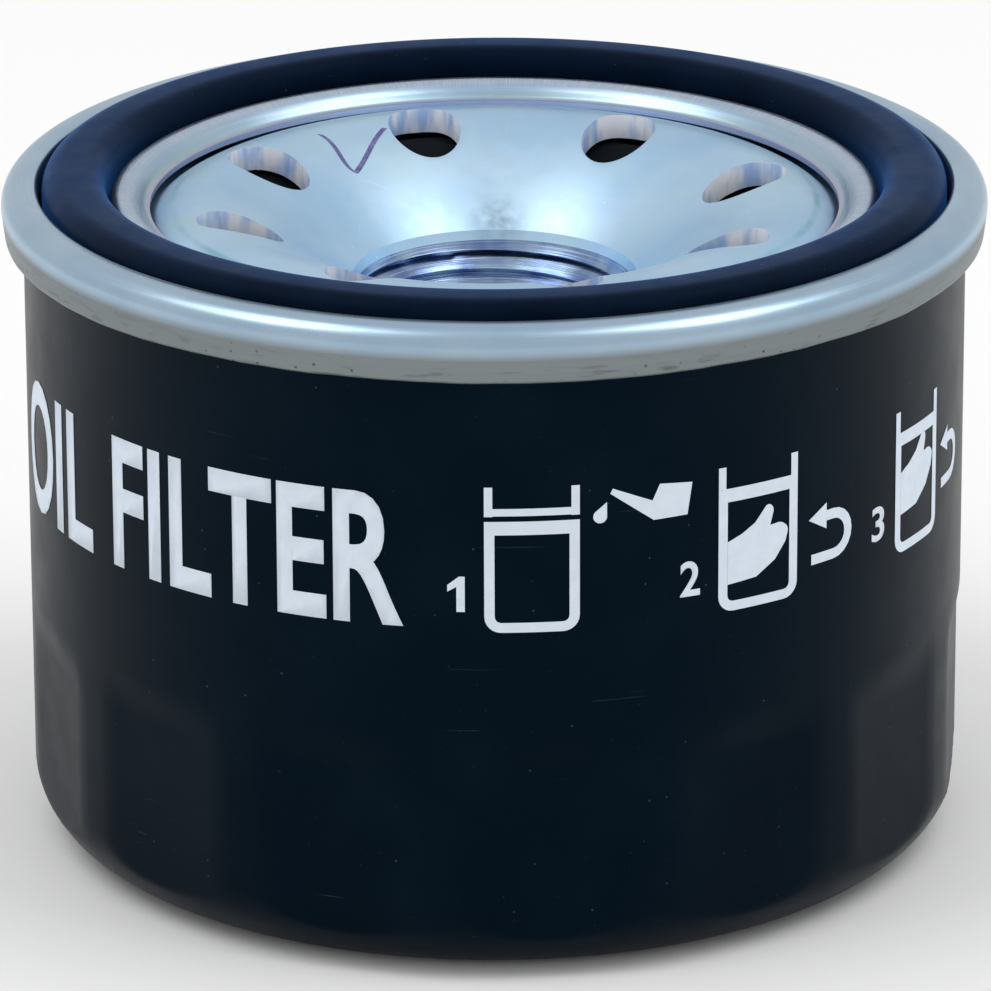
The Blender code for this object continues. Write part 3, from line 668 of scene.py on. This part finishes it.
tube = turned_piece("perforated_tube", [(TUBE_RADIUS, TUBE_TOP, 0), (TUBE_RADIUS, TUBE_LOW, 0)],
                    False, 96, TINNED)
thicken(tube, 0.6 * MM)
cutter = bmesh.new()
for row in range(TUBE_ROWS):
    for column in range(TUBE_COLUMNS):
        side = Matrix.Rotation((column + 0.5 * (row % 2)) * math.tau / TUBE_COLUMNS, 4, "Z")
        height = TUBE_LOW + (row + 0.5) * (TUBE_TOP - TUBE_LOW) / TUBE_ROWS
        place = Matrix.Translation((TUBE_RADIUS * MM, 0, height * MM))
        tip = Matrix.Rotation(math.pi / 2, 4, "Y")
        bmesh.ops.create_cone(cutter, cap_ends=True, segments=20, radius1=TUBE_HOLE,
                              radius2=TUBE_HOLE, depth=4.8 * MM, matrix=side @ place @ tip)
cut_away(tube, cutter)
stands_for(tube, "centre_tube", "element")


# ---------------------------------------------------------------------------------------------
# Pleated paper and its clip
# Resin-treated paper in 48 pleats does the filtering. Its two ends meet at one outer fold, where
# a strip of tinned steel pinches them together.

PLEATS = 48
RIB_SPACING = 1.6 * MM


def filter_paper():
    """Yellow-brown cured paper: fibres, soft mottling and the faint ribs it is embossed with."""
    material, shader, place = start_finish("filter_paper", 0.0)
    fibre = grain(place, 0.16 * MM, 4.0, (1, 1, 6))
    mottle = grain(place, 2.6 * MM, 4.0)
    out = around_axis(place, 25 * MM)[1]
    ribs = sum_up("SINE", times(out, math.tau / RIB_SPACING), 0.0)
    color = tint(window(mottle, 0.3, 0.7), (0.56, 0.40, 0.17, 1),
                 (0.70, 0.54, 0.27, 1))
    color = tint(window(fibre, 0.5, 0.8, 0.0, 0.5), color, (0.42, 0.28, 0.11, 1))
    feed(color, shader, "Base Color")
    feed(window(fibre, 0.2, 0.8, 0.78, 0.95), shader, "Roughness")
    shader.inputs["Specular IOR Level"].default_value = 0.25
    lumps = sum_up("ADD", fibre, times(ribs, 0.8))
    relief(shader, lumps, 0.05 * MM)
    return material


def fold_paper():
    """One pleat in plan, repeated round the axis, its folds rounded, then drawn up as a wall."""
    shape = bmesh.new()
    outer = 32.75
    inner = 17.85
    points = []
    for i in range(PLEATS):
        middle = i * math.tau / PLEATS
        half_out = 0.5 / outer
        half_in = 0.35 / inner
        step = math.pi / PLEATS
        for radius, angle in ((outer, -half_out), (outer, half_out), (inner, step - half_in),
                              (inner, step + half_in)):
            points.append(shape.verts.new((radius * MM * math.cos(middle + angle),
                                           radius * MM * math.sin(middle + angle), 11.42 * MM)))
    for here, there in zip(points, points[1:] + points[:1]):
        shape.edges.new((here, there))
    bmesh.ops.bevel(shape, geom=points, offset=0.3 * MM, offset_type="OFFSET", affect="VERTICES",
                    segments=3, profile=0.5, material=-1)
    drawn = bmesh.ops.extrude_edge_only(shape, edges=shape.edges[:])
    raised = [g for g in drawn["geom"] if isinstance(g, bmesh.types.BMVert)]
    bmesh.ops.translate(shape, verts=raised, vec=(0, 0, 25.38 * MM))
    bmesh.ops.recalc_face_normals(shape, faces=shape.faces[:])
    crease(shape, 60.0)
    return shape


paper = make_piece("folded_paper", fold_paper(), filter_paper())
thicken(paper, 0.5 * MM)
paper.modifiers["sheet"].offset = 0.0
stands_for(paper, "pleated_media", "element")

shape = bmesh.new()
clip_line = [shape.verts.new((x * MM, y * MM, 13.02 * MM)) for x, y in
             ((28.3, -1.25), (33.3, -1.25), (33.3, 1.25), (28.3, 1.25))]
for here, there in zip(clip_line, clip_line[1:]):
    shape.edges.new((here, there))
bmesh.ops.bevel(shape, geom=clip_line[1:3], offset=0.4 * MM, offset_type="OFFSET",
                affect="VERTICES", segments=4, profile=0.5, material=-1)
drawn = bmesh.ops.extrude_edge_only(shape, edges=shape.edges[:])
bmesh.ops.translate(shape, verts=[g for g in drawn["geom"] if isinstance(g, bmesh.types.BMVert)],
                    vec=(0, 0, 22.18 * MM))
bmesh.ops.recalc_face_normals(shape, faces=shape.faces[:])
crease(shape, 60.0)
clip = make_piece("paper_clip_strip", shape, TINNED)
thicken(clip, 0.38 * MM)
clip.modifiers["sheet"].offset = 0.0
stands_for(clip, "pleat_seam_clip", "element")


# ---------------------------------------------------------------------------------------------
# Potting rings
# Brick-red plastisol, poured into the end caps and cured. It beds the ends of the paper and
# leaves a wavy, slightly glossy edge.

def plastisol():
    """Cured plastisol: an even brick red with small bubbles and a waxy shine."""
    material, shader, place = start_finish("plastisol", 0.0)
    cloud = grain(place, 3 * MM, 3.0)
    bubbles = specks(place, 1.4 * MM, 0.25 * MM, 0.5)
    color = tint(window(cloud, 0.3, 0.7), (0.34, 0.085, 0.045, 1),
                 (0.44, 0.13, 0.07, 1))
    color = tint(times(bubbles, 0.6), color, (0.16, 0.04, 0.02, 1))
    feed(color, shader, "Base Color")
    feed(window(cloud, 0.3, 0.7, 0.38, 0.52), shader, "Roughness")
    relief(shader, sum_up("SUBTRACT", cloud, bubbles), 0.05 * MM)
    return material


POTTING = plastisol()
for name, node, low in (("lower_potting", "lower_adhesive", 9.42),
                        ("upper_potting", "upper_adhesive", 37.1)):
    ring_line = [(17.2, low, 0.2), (33.3, low, 0.2), (33.3, low + 1.7, 0.5),
                 (17.2, low + 1.7, 0.5)]
    stands_for(turned_piece(name, ring_line, True, 128, POTTING), node, "element")


# ---------------------------------------------------------------------------------------------
# Anti-drain valve
# Moulded nitrile rubber, held by its collar between the neck and the upper cap. Its lip lies
# under the inlet holes, gives way to the oil that comes in, and keeps it in when the engine stops.

top_side = [(12.3, 39.9, 0.2), (12.3, 41.95, 0.3), (15.55, 46.5, 0.8), (18.07, 48.21, 0.8),
            (20.44, 49.46, 0.8), (22.46, 50.21, 0.6), (23.89, 50.42, 0.4), (25.79, 49.79, 0.3)]
under_side = [(25.29, 48.82, 0.3), (23.88, 49.31, 0.4), (22.74, 49.14, 0.5), (20.89, 48.46, 0.8),
              (18.64, 47.26, 0.8), (16.17, 45.59, 0.8), (14.0, 42.2, 0.3), (14.0, 41.4, 0.3),
              (15.7, 41.4, 0.3), (15.7, 39.9, 0.2)]
# Black rubber, painted darker still: painted shade for the dark inside of the inlet holes, where the
# valve shows.
drain_rubber = moulded_rubber("drain_rubber", (0.0030, 0.0034, 0.0040, 1),
                              (0.0055, 0.0060, 0.0070, 1), 0.50)
drain_flap = turned_piece("drain_flap", top_side + under_side, True, 128, drain_rubber, 50.0)
stands_for(drain_flap, "anti_drain_valve", "housing")
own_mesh(drain_flap)


# ---------------------------------------------------------------------------------------------
# Tapping plate
# The strong piece: 2 mm steel, pressed into a dish with eight punched inlet holes and a neck that
# is tapped M20 x 1.5 for the engine's stud. Blue-clear zinc plating, with faint rainbow stains.

THREAD_PITCH = 1.5 * MM
THREAD_BORE = 9.2
THREAD_MAJOR = 10.0
THREAD_START = 34.9
THREAD_TURNS = 6.75
THREAD_STEPS = 72
THREAD_TOP = 42.6
MOUTH_RADIUS = 11.5
MOUTH_HEIGHT = 46.1
MOUTH_SLOPE = 43.0
CREST_RADIUS = 23.9
CREST_HEIGHT = 52.75
SHOULDER = 5.5
PLATE_SHEET = 2.0
HOLES = 8
HOLE_CIRCLE = 21.18 * MM
HOLE_PHASE = 15.85


def blue_zinc():
    """Blue-clear zinc: smooth satin metal with faint rubs, water marks, rainbow stains and a painted
    shade line where the dish turns down.
    """
    material, shader, place = start_finish("blue_zinc", 1.0)
    out = around_axis(place, 20 * MM)[1]
    cloud = grain(place, 10 * MM, 3.0)
    film = grain(place, 4.5 * MM, 2.0)
    edge_zone = window(out, 22.5 * MM, 28 * MM)
    color = tint(window(cloud, 0.3, 0.7), (0.40, 0.61, 0.82, 1),
                 (0.53, 0.72, 0.88, 1))
    lilac = times(window(film, 0.60, 0.75, 0.0, 0.40),
                   window(edge_zone, 0.0, 1.0, 0.30, 1.0))
    green = times(window(film, 0.46, 0.28, 0.0, 0.55),
                   window(edge_zone, 0.0, 1.0, 0.40, 1.0))
    color = tint(lilac, color, (0.50, 0.52, 0.82, 1))
    color = tint(green, color, (0.46, 0.66, 0.64, 1))
    # Dark teal ring where the dish turns down towards the lip: painted shade of that bend.
    bend_painted_shade = times(window(out, 25.6 * MM, 25.9 * MM),
                     window(out, 26.4 * MM, 26.1 * MM))
    bend_painted_shade = times(bend_painted_shade,
                     window(grain(place, 7 * MM, 3.0), 0.42, 0.62, 0.0, 0.55))
    color = tint(bend_painted_shade, color, (0.16, 0.42, 0.50, 1))
    tree = material.node_tree
    mouth_smudge = tree.nodes.new("ShaderNodeVectorMath")
    mouth_smudge.operation = "DISTANCE"
    mouth_smudge.inputs[1].default_value = (0.3 * MM, 12.2 * MM, 46.7 * MM)
    tree.links.new(place, mouth_smudge.inputs[0])
    smudge = times(window(mouth_smudge.outputs["Value"], 2.9 * MM, 0.4 * MM, 0.0, 0.60),
                    window(grain(place, 1.1 * MM, 5.0), 0.30, 0.62))
    color = tint(smudge, color, (0.13, 0.20, 0.28, 1))
    spots = specks(place, 1.9 * MM, 0.14 * MM, 0.30)
    color = tint(times(spots, 0.6), color, (0.80, 0.88, 0.95, 1))
    scratch = window(grain(place, 0.16 * MM, 1.0, (1, 28, 28)), 0.72, 0.80)
    cross = window(grain(place, 0.16 * MM, 1.0, (30, 1, 30)), 0.74, 0.82)
    marks = sum_up("MAXIMUM", scratch, cross)
    color = tint(times(marks, 0.18), color, (0.75, 0.85, 0.95, 1))
    feed(color, shader, "Base Color")
    rough = window(grain(place, 1.2 * MM, 4.0), 0.3, 0.7, 0.38, 0.46)
    feed(rough, shader, "Roughness")
    lumps = sum_up("ADD", grain(place, 0.6 * MM, 3.0),
                   times(marks, -0.5))
    relief(shader, lumps, 0.006 * MM)
    return material


def hole_wall_painted_highlight():
    """Walls of the punched holes: a near-white colour that is painted highlight, over the score
    marks of the punch.
    """
    material, shader, place = start_finish("hole_wall_painted_highlight", 0.25)
    score = grain(place, 0.22 * MM, 3.0, (1, 1, 12))
    patches = window(grain(place, 1.6 * MM, 2.0, (1, 1, 3)), 0.40, 0.60)
    # The near-white patches and score marks paint the highlight the walls catch: painted highlight.
    color = tint(patches, (0.42, 0.60, 0.92, 1), (0.94, 0.96, 1.0, 1))
    color = tint(window(score, 0.55, 0.75, 0.0, 0.6), color, (0.95, 0.97, 1.0, 1))
    feed(color, shader, "Base Color")
    feed(window(score, 0.3, 0.7, 0.45, 0.65), shader, "Roughness")
    relief(shader, score, 0.03 * MM)
    return material


def tapped_zinc():
    """Cut thread under the plating: dark, glossy blue with fine marks left by the tap."""
    material, shader, place = start_finish("tapped_zinc", 1.0)
    tree = material.node_tree
    half_turn = tree.nodes.new("ShaderNodeMapping")
    half_turn.inputs["Rotation"].default_value = (0, 0, math.pi)
    tree.links.new(place, half_turn.inputs["Vector"])
    ring = around_axis(half_turn.outputs["Vector"], 10 * MM)[0]
    tap_marks = grain(ring, 0.12 * MM, 3.0, (60, 1, 1))
    film = grain(place, 3 * MM, 2.0)
    color = tint(window(film, 0.35, 0.65), (0.14, 0.21, 0.42, 1),
                 (0.30, 0.42, 0.58, 1))
    color = tint(window(tap_marks, 0.55, 0.75, 0.0, 0.7), color,
                 (0.62, 0.75, 0.88, 1))
    feed(color, shader, "Base Color")
    feed(window(tap_marks, 0.3, 0.7, 0.16, 0.30), shader, "Roughness")
    relief(shader, tap_marks, 0.02 * MM)
    return material


def beside(points, distance):
    """The same line, moved sideways to its right by one distance."""
    moved = []
    for i, here in enumerate(points):
        along = points[min(i + 1, len(points) - 1)] - points[max(i - 1, 0)]
        side = Vector((along.y, -along.x)).normalized()
        moved.append(here + side * distance)
    return moved


def dish_line():
    """Upper face of the dish in mm, from the mouth over the crest and down the shoulder."""
    mouth = Vector((MOUTH_RADIUS, MOUTH_HEIGHT))
    crest = Vector((CREST_RADIUS, CREST_HEIGHT))
    slant = (crest - mouth).length
    slope = math.radians(MOUTH_SLOPE)
    leave = mouth + 0.42 * slant * Vector((math.cos(slope), math.sin(slope)))
    arrive = crest - Vector((0.21 * slant, 0))
    line = [p.xy for p in interpolate_bezier(mouth, leave, arrive, crest, 22)]
    for i in range(1, 11):
        angle = math.radians(90 - 5.5 * i)
        line.append(crest + SHOULDER * Vector((math.cos(angle), math.sin(angle) - 1)))
    return line


shape = bmesh.new()
upper = dish_line()
lower = [p for p in beside(upper, PLATE_SHEET) if p.x > 12.3]
corners = [(THREAD_BORE, 36.1, 0.4), (THREAD_BORE, THREAD_TOP, 0), (11.0, 45.0, 0.4)]
corners += [(p.x, p.y, 0) for p in upper]
corners += [(29.8, 49.85, 0.4), (35.93, 49.85, 0.3), (35.93, 47.85, 0.3), (28.9, 47.85, 0.8)]
corners += [(p.x, p.y, 0) for p in reversed(lower)]
corners += [(12.0, lower[0].y - 1.4 * (lower[0].x - 12.0), 0.6), (12.0, 36.1, 0.5)]
profile_line(shape, corners, True)
turn(shape, 240)
BLUE_ZINC = blue_zinc()
plate = make_piece("dished_plate", shape, BLUE_ZINC)

cutter = bmesh.new()
groove = [cutter.verts.new((r * MM, 0, (THREAD_START + z) * MM)) for r, z in
          ((THREAD_BORE - 0.3, -0.73), (THREAD_MAJOR, -0.09), (THREAD_MAJOR, 0.09),
           (THREAD_BORE - 0.3, 0.73))]
cutter.faces.new(groove)
bmesh.ops.spin(cutter, geom=cutter.faces[:], cent=(0, 0, 0), axis=(0, 0, 1),
               dvec=(0, 0, THREAD_PITCH / THREAD_STEPS), angle=math.tau * THREAD_TURNS,
               steps=int(THREAD_STEPS * THREAD_TURNS))
# On the lead-in cone the groove widens with the cone, and it runs out below the mouth.
for point in cutter.verts:
    up_cone = min(max(point.co.z - THREAD_TOP * MM, 0), 2.4 * MM)
    run_out = min(max(point.co.z - 44.4 * MM, 0) / (0.6 * MM), 1)
    radius = point.co.xy.length
    point.co.xy *= (radius + 0.75 * up_cone - 0.9 * MM * run_out) / radius
bmesh.ops.recalc_face_normals(cutter, faces=cutter.faces[:])
cut_away(plate, cutter)

cutter = bmesh.new()
for i in range(HOLES):
    side = Matrix.Rotation(math.radians(HOLE_PHASE + 360 / HOLES * i), 4, "Z")
    place = Matrix.Translation((HOLE_CIRCLE, 0, 52 * MM))
    oval = Matrix.Diagonal((3.53, 2.97, 1, 1))
    bmesh.ops.create_cone(cutter, cap_ends=True, segments=48, radius1=MM, radius2=MM,
                          depth=16 * MM, matrix=side @ place @ oval)
cut_away(plate, cutter)


def finish_holes(piece, width):
    """Give the punched walls their pale finish, which is painted highlight, and break the holes'
    edges.
    """
    piece.data.materials.append(hole_wall_painted_highlight())
    piece.data.materials.append(tapped_zinc())
    shape = bmesh.new()
    shape.from_mesh(piece.data)
    for face in shape.faces:
        radius = face.calc_center_median().xy.length
        if 17.2 * MM < radius < 25.0 * MM and abs(face.normal.z) < 0.2:
            face.material_index = 1
        if radius < 11.3 * MM:
            face.material_index = 2
    sharp = []
    for edge in shape.edges:
        middle = (edge.verts[0].co + edge.verts[1].co) / 2
        radius = middle.xy.length
        if 16.5 * MM < radius < 25.2 * MM and edge.is_manifold and edge.calc_face_angle(0) > 0.6:
            sharp.append(edge)
    bmesh.ops.bevel(shape, geom=sharp, offset=width, offset_type="OFFSET", affect="EDGES",
                    segments=3, profile=0.5, material=-1, clamp_overlap=True)
    crease(shape, 38.0)
    for edge in shape.edges:
        if all(abs(v.co.xy.length - MOUTH_RADIUS * MM) < 0.02 * MM
               and abs(v.co.z - MOUTH_HEIGHT * MM) < 0.02 * MM for v in edge.verts):
            edge.smooth = False
    shape.to_mesh(piece.data)
    shape.free()


finish_holes(plate, 0.16 * MM)
stands_for(plate, "tapping_plate", "housing")


# ---------------------------------------------------------------------------------------------
# Inspector's tick
# One quick stroke of a violet marker on the plate between two holes, where the line is checked.

def marker_ink():
    """Thin violet marker ink that the zinc shows through where the stroke runs dry."""
    material, shader, place = start_finish("marker_ink", 0.0)
    dry = window(grain(place, 0.4 * MM, 3.0), 0.35, 0.7)
    color = tint(dry, (0.055, 0.050, 0.20, 1), (0.16, 0.17, 0.36, 1))
    feed(color, shader, "Base Color")
    feed(window(dry, 0.0, 1.0, 0.35, 0.55), shader, "Roughness")
    return material


shape = bmesh.new()
stroke = [Vector(p) for p in interpolate_bezier(Vector((-14.6, 17.2, 60)), Vector((-13.0, 16.0, 60)),
                                                Vector((-12.9, 13.6, 60)),
                                                Vector((-11.6, 13.2, 60)), 14)]
stroke += [Vector(p) for p in interpolate_bezier(Vector((-11.6, 13.2, 60)),
                                                 Vector((-10.6, 15.4, 60)),
                                                 Vector((-10.4, 17.4, 60)),
                                                 Vector((-9.3, 19.6, 60)), 18)][1:]
path = [shape.verts.new(p * MM) for p in stroke]
for here, there in zip(path, path[1:]):
    shape.edges.new((here, there))
moved = bmesh.ops.extrude_edge_only(shape, edges=shape.edges[:])
far_side = [g for g in moved["geom"] if isinstance(g, bmesh.types.BMVert)]
bmesh.ops.translate(shape, verts=far_side, vec=(0.42 * MM, 0, 0))
for face in shape.faces:
    face.normal_update()
    if face.normal.z < 0:
        face.normal_flip()
tick = make_piece("inspectors_tick", shape, marker_ink())
lay_down = tick.modifiers.new("lay_down", "SHRINKWRAP")
lay_down.target = plate
lay_down.wrap_method = "PROJECT"
lay_down.use_project_z = True
lay_down.use_negative_direction = True
lay_down.use_positive_direction = False
lay_down.offset = 0.02 * MM
bpy.context.view_layer.update()
tick_mesh = bpy.data.meshes.new_from_object(tick.evaluated_get(
    bpy.context.evaluated_depsgraph_get()))
tick.modifiers.clear()
tick.data = tick_mesh
thicken(tick, 0.015 * MM)
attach(tick, "housing")


# ---------------------------------------------------------------------------------------------
# Seaming lid
# A thin zinc-plated ring, spot-welded to the plate and rolled down over the can's flange. It has
# the gasket's groove, and an inner lip that its forming has left with fine stretch marks.

ZINC = (0.35, 0.49, 0.63, 1)
ZINC_PALE = (0.42, 0.55, 0.67, 1)
SKIRT_PAINTED_SHADE = (0.22, 0.25, 0.26, 1)
PIT = (0.03, 0.035, 0.04, 1)
CUT_EDGE = (0.46, 0.46, 0.60, 1)


def seam_zinc():
    """Rolled zinc sheet: fine marks round the seam, a rougher lower skirt painted a darker grey as
    painted shade, with small dark pits, and short marks across the inner lip where the sheet was
    stretched."""
    material, shader, place = start_finish("seam_zinc", 1.0)
    ring, out, height = around_axis(place, 38 * MM)
    rolled = grain(ring, 0.14 * MM, 3.0, (90, 1, 1))
    long_marks = grain(ring, 0.5 * MM, 2.0, (40, 1, 1))
    cloud = grain(place, 7 * MM, 4.0)
    color = tint(window(cloud, 0.3, 0.7), ZINC, ZINC_PALE)
    # The lower skirt is painted a darker grey than the rest of the seam: painted shade on this
    # sideways-facing band.
    outside = window(out, 37.2 * MM, 38.4 * MM)
    skirt = times(outside, window(height, 53.0 * MM, 52.0 * MM))
    color = tint(skirt, color, SKIRT_PAINTED_SHADE)
    low_zone = times(outside, window(height, 52.2 * MM, 50.6 * MM))
    pits = times(specks(ring, 0.75 * MM, 0.16 * MM, 0.45),
                  window(grain(ring, 5 * MM, 2.0, (2.5, 1, 1)), 0.46, 0.60))
    pits = times(pits, low_zone)
    smear = times(low_zone,
                   window(grain(ring, 0.5 * MM, 4.0, (6, 1, 1)), 0.56, 0.70, 0.0, 0.7))
    color = tint(smear, color, (0.10, 0.10, 0.09, 1))
    color = tint(pits, color, PIT)
    inner_lip = window(out, 31.2 * MM, 30.9 * MM)
    top_band = times(inner_lip, window(out, 28.9 * MM, 29.3 * MM))
    stretch = grain(ring, 0.16 * MM, 2.0, (1, 14, 14))
    pale = times(top_band, window(stretch, 0.48, 0.68, 0.0, 0.45))
    film = grain(ring, 9 * MM, 2.0, (2.5, 1, 1))
    lilac = times(top_band, window(film, 0.36, 0.60, 0.30, 0.65))
    flank = times(window(out, 28.6 * MM, 28.2 * MM),
                   window(film, 0.58, 0.44, 0.0, 0.55))
    color = tint(lilac, color, (0.50, 0.56, 0.70, 1))
    color = tint(flank, color, (0.38, 0.52, 0.46, 1))
    color = tint(pale, color, (0.78, 0.84, 0.92, 1))
    color = tint(window(out, 28.15 * MM, 28.0 * MM), color, CUT_EDGE)
    feed(color, shader, "Base Color")
    rough = window(rolled, 0.3, 0.7, 0.26, 0.36)
    rough = sum_up("ADD", rough, times(skirt, 0.16))
    feed(rough, shader, "Roughness")
    lumps = sum_up("ADD", times(rolled, 0.5),
                   times(long_marks, 0.6))
    lumps = sum_up("ADD", lumps, times(pits, -3.0))
    lumps = sum_up("ADD", lumps, times(pale, 1.2))
    relief(shader, lumps, 0.010 * MM)
    return material


shape = bmesh.new()
profile_line(shape, [(27.78, 52.25, 0), (28.16, 52.25, 0.3), (28.95, 53.42, 0.8),
                     (30.93, 53.75, 1.1), (30.93, 50.6, 0.5), (36.83, 50.6, 0.5),
                     (36.83, 54.5, 0.45), (39.72, 54.5, 1.75), (39.72, 52.6, 0),
                     (39.42, 50.1, 0.35), (38.45, 50.1, 0)], False)
turn(shape, 288)
for point in shape.verts:
    if point.co.z < 50.75 * MM and point.co.xy.length > 38.2 * MM:
        wander = noise.noise(point.co.normalized() * 9.0) + 0.5 * noise.noise(point.co * 420.0)
        point.co.z += wander * 0.10 * MM * (50.75 * MM - point.co.z) / (0.65 * MM)
crease(shape, 50.0)
lid = make_piece("rolled_lid", shape, seam_zinc())
thicken(lid, 0.45 * MM)
stands_for(lid, "seaming_lid", "housing")


# ---------------------------------------------------------------------------------------------
# Seaming compound
# A bead of grey sealant, run into the lid before it is rolled over the can.

def sealant():
    """Grey cured sealant with a lumpy, matt skin."""
    material, shader, place = start_finish("sealant", 0.0)
    lumps = grain(place, 0.6 * MM, 4.0)
    feed(tint(lumps, (0.15, 0.17, 0.18, 1), (0.26, 0.28, 0.30, 1)), shader, "Base Color")
    feed(window(lumps, 0.3, 0.7, 0.6, 0.8), shader, "Roughness")
    relief(shader, lumps, 0.05 * MM)
    return material


bead_line = [(37.83, 53.5, 0.12), (38.65, 53.5, 0.12), (38.65, 52.9, 0.12), (37.83, 52.9, 0.12)]
bead = turned_piece("sealant_bead", bead_line, True, 160, sealant(), 60.0)
stands_for(bead, "seam_compound", "housing")


# ---------------------------------------------------------------------------------------------
# Sealing gasket
# Square-section ring of moulded nitrile rubber, pushed into the lid's groove. It stands proud of
# the seam, so that it seals against the engine's pad.

gasket_line = [(31.33, 50.9, 0.4), (31.33, 55.6, 1.7), (36.43, 55.6, 1.7), (36.43, 50.9, 0.4)]
gasket_rubber = moulded_rubber("gasket_rubber", (0.0006, 0.0030, 0.0095, 1),
                               (0.0018, 0.0065, 0.0190, 1), 0.42)
gasket_shader = gasket_rubber.node_tree.nodes["Principled BSDF"]
# The strong blue sheen is painted reflection: it stands in for a blue reflection of the surroundings
# on the rubber.
gasket_shader.inputs["Sheen Weight"].default_value = 0.50
gasket_shader.inputs["Sheen Roughness"].default_value = 0.35
gasket_shader.inputs["Sheen Tint"].default_value = (0.07, 0.32, 1.0, 1)
gasket = turned_piece("gasket_ring", gasket_line, True, 240, gasket_rubber, 60.0)
stands_for(gasket, "sealing_gasket", "housing")


# ---------------------------------------------------------------------------------------------
# Studio
# Pale floor, an even white room, a soft lamp high on each side, and the camera.

floor_mesh = bpy.data.meshes.new("floor")
shape = bmesh.new()
bmesh.ops.create_grid(shape, x_segments=1, y_segments=1, size=6.0)
shape.to_mesh(floor_mesh)
shape.free()
floor = bpy.data.objects.new("floor", floor_mesh)
bpy.context.scene.collection.objects.link(floor)
floor_paper = bpy.data.materials.new("floor_paper")
floor_paper.use_nodes = True
floor_shader = floor_paper.node_tree.nodes["Principled BSDF"]
floor_shader.inputs["Base Color"].default_value = (0.97, 0.97, 0.97, 1)
floor_shader.inputs["Roughness"].default_value = 0.9
floor_shader.inputs["Specular IOR Level"].default_value = 0.1
floor_mesh.materials.append(floor_paper)

world = bpy.data.worlds.new("studio")
bpy.context.scene.world = world
world.use_nodes = True
back = world.node_tree.nodes["Background"]
back.inputs["Color"].default_value = (1, 1, 1, 1)
back.inputs["Strength"].default_value = 0.74


def soft_lamp(name, place, size, power):
    """Rectangular soft lamp that looks at the filter."""
    lamp = bpy.data.lights.new(name, "AREA")
    lamp.shape = "RECTANGLE"
    lamp.size, lamp.size_y = size
    lamp.energy = power
    holder = bpy.data.objects.new(name, lamp)
    holder.location = place
    look = Vector((0, 0, 0.04)) - Vector(place)
    holder.rotation_euler = look.to_track_quat("-Z", "Y").to_euler()
    bpy.context.scene.collection.objects.link(holder)


soft_lamp("left_lamp", (-0.45, -0.11, 0.77), (0.45, 0.45), 1.6)
soft_lamp("right_lamp", (0.45, -0.11, 0.77), (0.45, 0.45), 1.6)

CAMERA_HEIGHT = math.radians(19.766)
CAMERA_DISTANCE = 0.6608
AIM = Vector((0, 0, 0.027))
lens = bpy.data.cameras.new("camera")
lens.lens = 293.8
lens.sensor_width = 36.0
lens.clip_start = 0.01
camera = bpy.data.objects.new("camera", lens)
camera.location = AIM + CAMERA_DISTANCE * Vector((0, -math.cos(CAMERA_HEIGHT),
                                                  math.sin(CAMERA_HEIGHT)))
aim_turn = (AIM - camera.location).to_track_quat("-Z", "Y").to_matrix().to_4x4()
camera.rotation_euler = (aim_turn @ Matrix.Rotation(math.radians(-0.218), 4, "Z")).to_euler()
bpy.context.scene.collection.objects.link(camera)
bpy.context.scene.camera = camera

bpy.context.scene.view_settings.view_transform = "Standard"
